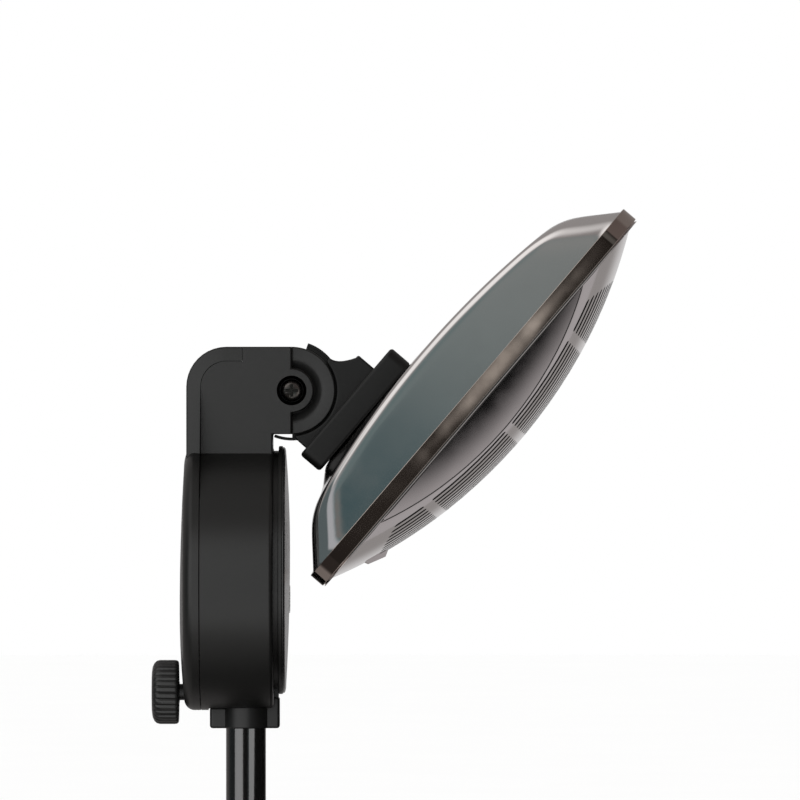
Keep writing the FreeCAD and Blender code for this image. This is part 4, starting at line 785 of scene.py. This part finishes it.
# Housing, upright in the row frame
MAIN_LOW, MAIN_HIGH = node_box("main_housing")
REAR_LOW, REAR_HIGH = node_box("rear_cover")
SEAM = MAIN_LOW.x
SEAM_GAP = 0.15
SEAM_EDGE = 0.25
DRUM_RADIUS = MAIN_HIGH.y
DRUM_Z = MAIN_LOW.z + DRUM_RADIUS
DRUM_FRONT = 19.6
DRUM_STEP = 15
DRUM_ROUND = 3
DRUM_LIP = 5
DRUM_LIP_EDGE = 0.4
DRUM_BORE = 80
DRUM_SEGMENTS = 160
HINGE_X, HINGE_Z = HINGE.x / MM, HINGE.z / MM
HINGE_CENTRE = (HINGE_X, HINGE_Z)
HINGE_HOLE = 4.3
BOSS_RADIUS = MAIN_HIGH.x - HINGE_X
ARM_HALF_WIDTH = 30
ARM_REAR = -41.3
ARM_FRONT = 18.9
ARM_TOP = MAIN_HIGH.z
ARM_ROOT = 1086
ARM_CORNER = 28
BAND = 10
BAND_END = REAR_HIGH.x
BAND_DRAFT = math.tan(math.radians(9))
FLANK_DEPTH = 5
# Room that a cutting tool has outside the arm
MARGIN = 9
CHEEK_MARGIN = 5
FORK_RADIUS = SHIELD_RADIUS + 1.5
FORK_HALF_GAP = 14
# Screw recess: its seat, and a groove round the head whose floor slopes so that it stays dark
RECESS_RADIUS = 10.4
RECESS_SEAT = 23.6
WELL_RADIUS = 8.1
WELL_FLOOR = (15, 21)
WELL_TOP = 25
# Cove round the hinge hub: radius and depth
COVE = ((15.4, 7.6), (20.5, 5.2), (23.5, 3.4), (36, 2.8))
COLLAR_GAP = (-26.2, -18, 24.7, 18)
COLLAR_GAP_CORNER = 4
COLLAR_GAP_SPAN = (890, 935)
CLAMP_Z = sum(corner.z for corner in node_box("clamp_knob")) / 2


def whole_arm():
    """Arm with its band, before it is parted along the seam."""
    side = rounded([(ARM_REAR, ARM_ROOT, 0), (ARM_REAR, ARM_TOP, ARM_CORNER),
                    (HINGE_X - 1, ARM_TOP, 0)], 10)
    side += arc(HINGE_CENTRE, BOSS_RADIUS, math.pi / 2, -math.pi / 2, 48)
    side += [Vector((ARM_FRONT, HINGE_Z - BOSS_RADIUS)), Vector((ARM_FRONT, ARM_ROOT))]
    arm = prism(side, -ARM_HALF_WIDTH, ARM_HALF_WIDTH)
    outside = ARM_HALF_WIDTH + CHEEK_MARGIN
    for cheek in (-1, 1):
        cove = [(COVE[0][0], cheek * outside)]
        cove += [(radius, cheek * (ARM_HALF_WIDTH - depth)) for radius, depth in COVE]
        cove.append((COVE[-1][0], cheek * outside))
        arm = combine("DIFFERENCE", arm, sector(cove, HINGE_CENTRE, -math.pi / 2, math.pi / 2))
    return soften(arm, 1.2, 50, 3)


def band_region(gap):
    """Room of the band behind the seam, with a gap added."""
    rear, root, top = ARM_REAR - MARGIN, ARM_ROOT - MARGIN, ARM_TOP + MARGIN
    edge, end, under = SEAM + gap, BAND_END + gap, ARM_TOP - BAND - gap
    side = rounded([(rear, root, 0), (rear, top, 0), (end, top, 0), (end, under, 0),
                    (edge, under, ARM_CORNER - BAND), (edge, root, 0)], 10)
    return prism(side, -ARM_HALF_WIDTH - MARGIN, ARM_HALF_WIDTH + MARGIN)


def past_seam(x, z):
    """How far a point of the arm lies behind or over the seam."""
    turn = ARM_CORNER - BAND
    centre_x, centre_z = SEAM + turn, ARM_TOP - BAND - turn
    if x < centre_x and z > centre_z:
        return max(math.hypot(x - centre_x, z - centre_z) - turn, 0)
    return max(SEAM - x, z - ARM_TOP + BAND, 0)


def build_main_housing():
    """Drum with its open front, and the arm with two cheeks round the hinge."""
    edge = SEAM + SEAM_GAP
    lip = DRUM_RADIUS - DRUM_LIP
    profile = [(edge, DRUM_BORE), (edge, DRUM_RADIUS - SEAM_EDGE), (edge + SEAM_EDGE, DRUM_RADIUS)]
    profile += arc((DRUM_FRONT - DRUM_ROUND, DRUM_RADIUS - DRUM_ROUND), DRUM_ROUND, math.pi / 2, 0, 6)
    profile += [(DRUM_FRONT, lip + DRUM_LIP_EDGE), (DRUM_FRONT - DRUM_LIP_EDGE, lip),
                (DRUM_STEP, lip - DRUM_LIP_EDGE), (DRUM_STEP, DRUM_BORE)]
    drum = lathe(profile, "X", (0, DRUM_Z), DRUM_SEGMENTS)
    arm = combine("DIFFERENCE", whole_arm(), band_region(SEAM_GAP),
                  peg(-FORK_HALF_GAP, FORK_HALF_GAP, FORK_RADIUS, "Y", HINGE_CENTRE, 96),
                  peg(-50, 50, HINGE_HOLE, "Y", HINGE_CENTRE))
    for cheek in (-1, 1):
        recess = sorted((cheek * RECESS_SEAT, cheek * (ARM_HALF_WIDTH + CHEEK_MARGIN)))
        well = [(cheek * WELL_FLOOR[0], WELL_RADIUS), (cheek * WELL_FLOOR[1], RECESS_RADIUS),
                (cheek * WELL_TOP, RECESS_RADIUS), (cheek * WELL_TOP, WELL_RADIUS)]
        arm = combine("DIFFERENCE", arm, peg(*recess, RECESS_RADIUS, "Y", HINGE_CENTRE),
                      lathe(well, "Y", HINGE_CENTRE, 64))
    collar_gap = prism(oblong(*COLLAR_GAP, COLLAR_GAP_CORNER), *COLLAR_GAP_SPAN, "Z")
    bm = combine("UNION", combine("DIFFERENCE", drum, collar_gap), arm)
    piece("housing_shell", bm, "housing", "housing_black", "main_housing")


# Rear cover: the turn from its rim, then a slightly bulged back
REAR_TURN_X = -36
REAR_TURN_LENGTH = 7.2
REAR_TURN_HEIGHT = 11
REAR_TURN_DEGREES = range(0, 73, 8)
REAR_RIM = 3
REAR_WALL = 3
REAR_INNER = 0.97
REAR_BULGE = 3.6
REAR_FLAT = 88
REAR_SHARES = (0.93, 0.85, 0.76, 0.65, 0.52, 0.4, 0.25, 0.1, 0)
REAR_SHIFT = -26
TONGUE_LENGTH = 18
TONGUE_HALF_WIDTH = 25
SCREW_HEAD_RADIUS = 3.4
SCREW_WELL_RADIUS = 4.4
STUD_HOLE = 6.6
HOLE_SPAN = (-60, -20)


def build_rear_cover():
    """Domed back of the drum with the band that closes the arm, and its screw wells."""
    edge = SEAM - SEAM_GAP
    profile = [(edge, DRUM_RADIUS - REAR_RIM), (edge, DRUM_RADIUS - SEAM_EDGE),
               (edge - SEAM_EDGE, DRUM_RADIUS)]
    for degrees in REAR_TURN_DEGREES:
        t = math.radians(degrees)
        profile.append((REAR_TURN_X - REAR_TURN_LENGTH * math.sin(t),
                        DRUM_RADIUS - REAR_TURN_HEIGHT * (1 - math.cos(t))))
    back = [(REAR_LOW.x + REAR_BULGE * share * share, REAR_FLAT * share) for share in REAR_SHARES]
    profile += back
    profile += [(x + REAR_WALL, radius * REAR_INNER) for x, radius in reversed(back)]
    rear = lathe(profile, "X", (0, DRUM_Z), DRUM_SEGMENTS, shift=(0, REAR_SHIFT))
    band = combine("INTERSECT", whole_arm(), band_region(-SEAM_GAP))
    bmesh.ops.triangulate(band, faces=[face for face in band.faces if len(face.verts) > 4])
    for vertex in band.verts:
        if abs(vertex.co.y) > ARM_HALF_WIDTH - FLANK_DEPTH:
            vertex.co.y -= math.copysign(BAND_DRAFT * past_seam(vertex.co.x, vertex.co.z), vertex.co.y)
    tongue = prism(oblong(BAND_END - TONGUE_LENGTH, ARM_TOP - BAND - 1.2, BAND_END - 1, ARM_TOP - 4),
                   -TONGUE_HALF_WIDTH, TONGUE_HALF_WIDTH)
    low, high = node_box("cover_screws")
    wells = [peg(*HOLE_SPAN, SCREW_WELL_RADIUS, "X", (y, z))
             for y in (low.y + SCREW_HEAD_RADIUS, high.y - SCREW_HEAD_RADIUS)
             for z in (low.z + SCREW_HEAD_RADIUS, high.z - SCREW_HEAD_RADIUS)]
    bm = combine("UNION", rear, band, tongue)
    bm = combine("DIFFERENCE", bm, peg(*HOLE_SPAN, STUD_HOLE, "X", (0, CLAMP_Z)), *wells)
    piece("rear_shell", bm, "housing", "housing_black", "rear_cover")


# Front of the drum
BEZEL_BACK = 15.3
BEZEL_BORE = DRUM_BORE - 4
BEZEL_STEP = 23.1
BEZEL_STEP_INSET = 3.3
BEZEL_EDGE = 0.4
# Distance from the cover's back and inset from its edge
COVER_EDGE = ((0, 0), (0.9, 0), (1.5, 0.5), (1.9, 1.6))
COVER_FOOT = 2.1
COVER_FOOT_INSET = 2.4
COVER_SHARES = (1, 0.94, 0.85, 0.73, 0.58, 0.42, 0.26, 0.12, 0)
COVER_SHIFT = 15
BUTTON_HOLE = 10.5
BUTTON_RADIUS = 10
BUTTON_STEM = 5
BUTTON_DEPTH = 6
# Distance under the button's top and radius
BUTTON_TOP = ((1.2, BUTTON_RADIUS), (0.5, 9.8), (0.1, 9.3), (0, 8.7), (0.1, 8.1),
              (0.55, 6.5), (0.7, 3), (0.75, 0))


def build_front():
    """Bezel ring, domed gloss cover and its flush button."""
    low, high = node_box("front_cover")
    centre = (0, (low.z + high.z) / 2)
    back, radius = low.x, high.y
    ring = node_box("bezel_ring")[1].y
    neck = ring - BEZEL_STEP_INSET
    bezel = lathe([(BEZEL_BACK, BEZEL_BORE), (BEZEL_BACK, neck), (BEZEL_STEP, neck),
                   (BEZEL_STEP, ring - BEZEL_EDGE), (BEZEL_STEP + BEZEL_EDGE, ring),
                   (back - BEZEL_EDGE, ring), (back, ring - BEZEL_EDGE), (back, BEZEL_BORE)],
                  "X", centre, DRUM_SEGMENTS)
    piece("front_bezel", bezel, "housing", "housing_black", "bezel_ring")
    foot = back + COVER_FOOT
    profile = [(back, 0), *((back + far, radius - inset) for far, inset in COVER_EDGE)]
    profile += [(foot + (high.x - foot) * (1 - share * share), (radius - COVER_FOOT_INSET) * share)
                for share in COVER_SHARES]
    cover = lathe(profile, "X", centre, DRUM_SEGMENTS, shift=(0, COVER_SHIFT))
    button_low, button_high = node_box("power_button")
    button_z = (button_low.z + button_high.z) / 2
    cover = combine("DIFFERENCE", cover, peg(10, 60, BUTTON_HOLE, "X", (0, button_z), 96))
    piece("cover_dome", soften(cover, 0.3, 62), "housing", "cover_gloss", "front_cover")
    button = lathe([(button_low.x, 0), (button_low.x, BUTTON_STEM), (back - BUTTON_DEPTH, BUTTON_STEM),
                    (back - BUTTON_DEPTH, BUTTON_RADIUS),
                    *((button_high.x - under, reach) for under, reach in BUTTON_TOP)], "X", (0, button_z))
    piece("button_cap", button, "button", "button_silver", "power_button")


# Hand knobs: distance from the face and radius, or inset from the grip
KNOB_FACE = ((0.5, 0), (0.5, 6), (0, 9), (0, 14), (0.5, 17.6), (1.7, 20.2), (3.4, 21.8))
KNOB_GRIP = ((5.6, 0), (8, 0), (12, 0), (16, 0), (17.6, 0.2), (18.6, 1), (18.9, 2),
             (18.7, 3), (15, 4), (14.6, 5))
KNOB_BOSS = ((14.6, 9.4), (15.2, 8.6), (18.9, 8), (19.4, 7.4), (19.4, 5.7))
KNOB_TIP = ((0.3, 5.7), (0, 5.4), (0, 0))
KNOB_SEGMENTS = 360
FLUTE_SPAN = (3, 18.8)


def build_knob(name, node, body):
    """Fluted hand knob with a hollow inner face and a boss."""
    low, high = node_box(node)
    face, tip, grip = low.x, high.x, high.y
    profile = [(face + far, radius) for far, radius in KNOB_FACE]
    profile += [(face + far, grip - inset) for far, inset in KNOB_GRIP]
    profile += [(face + far, radius) for far, radius in KNOB_BOSS]
    profile += [(tip - near, radius) for near, radius in KNOB_TIP]
    flutes = [face + far for far in FLUTE_SPAN]
    knob = lathe(profile, "X", (0, (low.z + high.z) / 2), KNOB_SEGMENTS, flutes=flutes)
    piece(name, knob, body, "knob_black", node, angle=50)


# Collar round the pole
LUG_BACK = -25.2
LUG_FRONT = -8
LUG_HALF_WIDTH = 8
LUG_CORNER = 2.5
LUG_HEIGHT = 15
BLOCK_BACK = 6
BLOCK_HALF_WIDTH = 7
BLOCK_CORNER = 2
BLOCK_HEIGHT = 22
BLOCK_TONGUE = (BLOCK_BACK, -6, 23, 6)
BLOCK_TONGUE_SPAN = (20, 27.5)
COLLAR_ROUND = 2.0
SLEEVE_RADIUS = 16.6
SLEEVE_EDGE = 0.8
SLEEVE_BORE = 10
SLEEVE_HEIGHT = 60
POLE_HOLE = 14.3
COLLAR_STUD_HOLE = 6.1


def build_collar():
    """Socket under the drum: a round sleeve, a flat lug behind it and a block in front."""
    low, high = node_box("pole_socket")
    bottom, front, top = low.z, high.x, low.z + SLEEVE_HEIGHT

    def stub(inner, outer, half_width, corner, height):
        """Rounded block that stands out from the sleeve."""
        outline = rounded([(inner, -half_width, 0), (outer, -half_width, corner),
                           (outer, half_width, corner), (inner, half_width, 0)])
        return soften(prism(outline, bottom, bottom + height, "Z"), COLLAR_ROUND, 50, 4)

    lug = stub(LUG_FRONT, LUG_BACK, LUG_HALF_WIDTH, LUG_CORNER, LUG_HEIGHT)
    block = stub(BLOCK_BACK, front, BLOCK_HALF_WIDTH, BLOCK_CORNER, BLOCK_HEIGHT)
    tongue = prism(oblong(*BLOCK_TONGUE), *(bottom + rise for rise in BLOCK_TONGUE_SPAN), "Z")
    sleeve = lathe([(bottom, SLEEVE_BORE), (bottom, SLEEVE_RADIUS - SLEEVE_EDGE),
                    (bottom + SLEEVE_EDGE, SLEEVE_RADIUS), (top, SLEEVE_RADIUS), (top, SLEEVE_BORE)], "Z")
    bm = combine("UNION", lug, block, sleeve, tongue)
    bm = combine("DIFFERENCE", bm, peg(bottom - 10, top + 8, POLE_HOLE, "Z", segments=96),
                 peg(-60, -5, COLLAR_STUD_HOLE, "X", (0, CLAMP_Z)))
    piece("pole_collar", bm, "housing", "housing_black", "pole_socket")


# Hinge bolt: distance under the head's top and inset from its edge
BOLT_DOME = ((2.6, 0), (1.5, 0.9), (0.7, 2.3), (0.2, 4.4), (0, 6.2))
BOLT_TRIM = 1
BOLT_HEAD_HEIGHT = 5
BOLT_SHANK = 4
BOLT_CHAMFER = 0.6
CROSS_ARM = 4.3
CROSS_HALF_WIDTH = 1.1
CROSS_DEPTH = 2.4


def build_bolt():
    """Hinge bolt with a domed cross-recess head."""
    low, high = node_box("hinge_bolt")
    head, end, radius = low.y, high.y, (high.x - low.x) / 2 - BOLT_TRIM
    seat = head + BOLT_HEAD_HEIGHT
    bolt = lathe([(end, 0), (end, BOLT_SHANK - BOLT_CHAMFER), (end - BOLT_CHAMFER, BOLT_SHANK),
                  (seat, BOLT_SHANK), (seat, radius - 0.2), (seat - 0.3, radius),
                  *((head + under, radius - inset) for under, inset in BOLT_DOME), (head, 0)],
                 "Y", HINGE_CENTRE)
    cross = [prism(oblong(HINGE_X - width, HINGE_Z - height, HINGE_X + width, HINGE_Z + height),
                   head - 2, head + CROSS_DEPTH)
             for width, height in ((CROSS_ARM, CROSS_HALF_WIDTH), (CROSS_HALF_WIDTH, CROSS_ARM))]
    bm = soften(combine("DIFFERENCE", bolt, *cross), 0.15, 60)
    piece("hinge_screw", bm, "housing", "hinge_steel", "hinge_bolt")


build_dish()
build_rim()
build_grille()
build_plate()
build_bracket()
build_main_housing()
build_rear_cover()
build_front()
build_knob("clamp_grip", "clamp_knob", "clamp_screw")
build_knob("height_grip", "height_knob", "height_screw")
build_collar()
build_bolt()

# Stage, light and camera, in metres and watts
CAMERA_AWAY = 7.5
CAMERA_MIDDLE = (0.1078, 1.1296)
VIEW_WIDTH = 0.56
SENSOR_WIDTH = 36
FLOOR_RADIUS = 40
# Soft lamps: name, place, size and power
LAMPS = (("above", (-0.3, -0.4, 3.0), (1.6, 1.6), 22), ("left", (-2.0, -1.0, 1.6), (1.0, 1.6), 16))
LAMP_AIM = (0, 0, 1)
# Strips that only the poles mirror: azimuth and width
STRIPS = ((math.radians(-41.5), 2.0), (math.radians(35), 1.4))
STRIP_AWAY = 2.2
STRIP_HEIGHT = 0.75
STRIP_LENGTH = 1.4
STRIP_POWER = 13
# Panels that only the black mouldings mirror, with less for the bracket
PANEL_SPOT = (-0.9, -1.1, 0.95)
PANEL_AIM = (-0.9, 0, 0.95)
PANEL_SIZE = (2.2, 1.85)
PANEL_POWER = 20
BRACKET_POWER = 9
PANEL_SLOTS = ("housing_black", "knob_black", "cover_gloss", "base_paint", "inner_plastic")
# What polished faces mirror: direction, inner and outer angle in degrees, colour; later ones lie on top
MIRROR_GROUND = (0.3, 0.285, 0.28)
MIRRORED = (
    ((0, 1, 0), 5, 24, (0.62, 0.61, 0.61)),
    ((-0.62, -0.3, 0.72), 16, 40, (0.95, 0.93, 0.92)),
    ((-0.97, -0.2, 0), 22, 38, (0.1, 0.125, 0.13)),
    ((0, -1, 0), 22, 44, (0.126, 0.173, 0.177)),
    ((0.92, -0.1, 0), 25, 45, (0.06, 0.06, 0.065)),
    ((0, -0.707, -0.707), 10, 25, (1.0, 0.98, 0.96)),
    ((-0.45, -0.6, -0.55), 18, 34, (0.045, 0.04, 0.038)),
    ((0.45, -0.6, 0.55), 25, 42, (0.2, 0.175, 0.17)),
    ((-0.2, -0.951, -0.235), 9, 15, (0.03, 0.027, 0.025)),
    ((0.2, -0.951, 0.235), 9, 15, (0.03, 0.027, 0.025)),
    ((-0.62, -0.79, 0), 7, 20, (0.42, 0.43, 0.45)),
    ((-0.198, -0.976, 0.089), 1, 4.2, (0.05, 0.09, 0.1)),
    ((-0.3, -0.95, 0), 3, 7, (0.19, 0.165, 0.155)),
    ((0, -0.93, 0.35), 5, 20, (0.23, 0.24, 0.235)),
    ((0, -1, 0), 7, 10.5, (0.03, 0.027, 0.025)),
    ((0.0096, -1, 0.0035), 0.25, 0.6, (0.6, 0.59, 0.56)),
)
# Card that polished faces of the head mirror, in millimetres, and its dark blob, in metres
CARD_OUT = 450
CARD_CORNERS = ((-340, -500), (500, -500), (500, 500), (-340, 500))
CARD_PIECES = ("grille_dome", "bare_plate", "dish_shell", "rim_band")
BLOB_MIDDLE = (CARD_OUT, -235, RIM_UP + 22)
BLOB_RADII = (0.06, 0.16)
BLOB_STOPS = ((0.6, (0.004, 0.004, 0.004)), (1.0, (0.4, 0.38, 0.385)))


def vector_math(tree, operation, *inputs):
    """New node that works with vectors."""
    node = tree.nodes.new("ShaderNodeVectorMath")
    node.operation = operation
    feed(tree, node, dict(enumerate(inputs)))
    return node


# Colour sockets of a mix node
MIX_BELOW, MIX_ABOVE, MIX_RESULT = 6, 7, 2


def build_world():
    """White for the lens and soft light, with grey and dark areas that only polished faces mirror."""
    world = bpy.data.worlds.new("studio")
    world.use_nodes = True
    tree = world.node_tree
    tree.nodes.clear()
    direction = add_node(tree, "TexCoord", {}).outputs["Generated"]
    colour = (*MIRROR_GROUND, 1)
    for axis, inner, outer, shade in MIRRORED:
        near = vector_math(tree, "DOT_PRODUCT", direction, Vector(axis).normalized())
        fade = add_node(tree, "MapRange", {
            "Value": near.outputs["Value"], "From Min": math.cos(math.radians(outer)),
            "From Max": math.cos(math.radians(inner))})
        fade.interpolation_type = "SMOOTHSTEP"
        mix = tree.nodes.new("ShaderNodeMix")
        mix.data_type = "RGBA"
        feed(tree, mix, {"Factor": fade.outputs["Result"], MIX_BELOW: colour, MIX_ABOVE: (*shade, 1)})
        colour = mix.outputs[MIX_RESULT]
    mirrored = add_node(tree, "Background", {"Color": colour})
    seen = add_node(tree, "Background", {"Color": (1, 1, 1, 1)})
    glossy = add_node(tree, "LightPath", {}).outputs["Is Glossy Ray"]
    choose = add_node(tree, "MixShader", {
        "Fac": glossy, 1: seen.outputs["Background"], 2: mirrored.outputs["Background"]})
    add_node(tree, "OutputWorld", {"Surface": choose.outputs["Shader"]})
    bpy.context.scene.world = world


def link_light(obj, receivers):
    """Lets a light or a glowing card reach only some objects."""
    lit = bpy.data.collections.new(obj.name)
    for receiver in receivers:
        lit.objects.link(receiver)
    obj.light_linking.receiver_collection = lit


def build_light(name, spot, aim, size, power, receivers=()):
    """Soft lamp that polished faces don't mirror, or a panel that only the receivers mirror."""
    data = bpy.data.lights.new(name, "AREA")
    data.shape = "RECTANGLE"
    data.size, data.size_y = size
    data.energy = power
    obj = bpy.data.objects.new(name, data)
    obj.location = spot
    obj.rotation_mode = "QUATERNION"
    obj.rotation_quaternion = (Vector(aim) - Vector(spot)).to_track_quat("-Z", "Y")
    obj.visible_camera = False
    obj.visible_glossy = bool(receivers)
    obj.visible_diffuse = not receivers
    if receivers:
        link_light(obj, receivers)
    bpy.context.scene.collection.objects.link(obj)


def card_look():
    """Grey glow with a dark blob."""
    material = bpy.data.materials.new("card_grey")
    material.use_nodes = True
    tree = material.node_tree
    tree.nodes.clear()
    place = add_node(tree, "TexCoord", {}).outputs["Object"]
    shift = vector_math(tree, "SUBTRACT", place, HEAD @ Vector(BLOB_MIDDLE))
    turn = add_node(tree, "VectorRotate", {"Vector": shift.outputs["Vector"], "Angle": -TILT})
    turn.rotation_type = "Y_AXIS"
    scale = vector_math(tree, "MULTIPLY", turn.outputs["Vector"], (0, 1 / BLOB_RADII[0], 1 / BLOB_RADII[1]))
    away = vector_math(tree, "LENGTH", scale.outputs["Vector"])
    ramp = colour_ramp(tree, away.outputs["Value"], BLOB_STOPS, "EASE")
    glow = add_node(tree, "Emission", {"Color": ramp.outputs["Color"]})
    add_node(tree, "OutputMaterial", {"Surface": glow.outputs["Emission"]})
    return material


def build_card():
    """Grey card out in front of the dome, seen only in the head's polished faces."""
    bm = bmesh.new()
    bm.faces.new([bm.verts.new((CARD_OUT, y, RIM_UP + u)) for y, u in CARD_CORNERS])
    bm.transform(HEAD)
    card = new_object("card", bm)
    card.data.materials.append(card_look())
    card.visible_camera = card.visible_diffuse = card.visible_shadow = card.visible_transmission = False
    link_light(card, [obj for obj in PIECES if obj.name in CARD_PIECES])


def build_floor():
    """Plain pale floor that polished faces don't mirror."""
    bm = bmesh.new()
    bmesh.ops.create_circle(bm, cap_ends=True, segments=96, radius=FLOOR_RADIUS)
    floor = new_object("floor", bm)
    floor.data.materials.append(LOOKS["floor_pale"])
    floor.visible_glossy = False


def build_lights():
    """Soft lamps, strips for the poles and panels for the black mouldings."""
    for name, spot, size, power in LAMPS:
        build_light(name, spot, LAMP_AIM, size, power)
    poles = [frame["nodes"][node] for node in ("lower_pole", "upper_pole")]
    for azimuth, width in STRIPS:
        spot = (STRIP_AWAY * math.sin(azimuth), -STRIP_AWAY * math.cos(azimuth), STRIP_HEIGHT)
        build_light("strip", spot, (0, 0, STRIP_HEIGHT), (width, STRIP_LENGTH), STRIP_POWER * width, poles)
    dark = [LOOKS[slot] for slot in PANEL_SLOTS]
    moulded = [obj for obj in (*PIECES, *frame["nodes"].values()) if obj.data.materials[0] in dark]
    bracket = [obj for obj in PIECES if obj.name == "tilt_knuckle"]
    others = [obj for obj in moulded if obj not in bracket]
    for receivers, power in ((others, PANEL_POWER), (bracket, BRACKET_POWER)):
        build_light("panel", PANEL_SPOT, PANEL_AIM, PANEL_SIZE, power, receivers)


def build_camera():
    """Lens level with the head unit, looking along Y as the photo does."""
    data = bpy.data.cameras.new("camera")
    data.sensor_width = SENSOR_WIDTH
    data.angle = 2 * math.atan(VIEW_WIDTH / 2 / CAMERA_AWAY)
    camera = bpy.data.objects.new("camera", data)
    camera.location = (CAMERA_MIDDLE[0], -CAMERA_AWAY, CAMERA_MIDDLE[1])
    camera.rotation_euler = (math.pi / 2, 0, 0)
    bpy.context.scene.collection.objects.link(camera)
    bpy.context.scene.camera = camera


build_world()
build_floor()
build_card()
build_lights()
build_camera()
bpy.context.scene.view_settings.view_transform = "Standard"
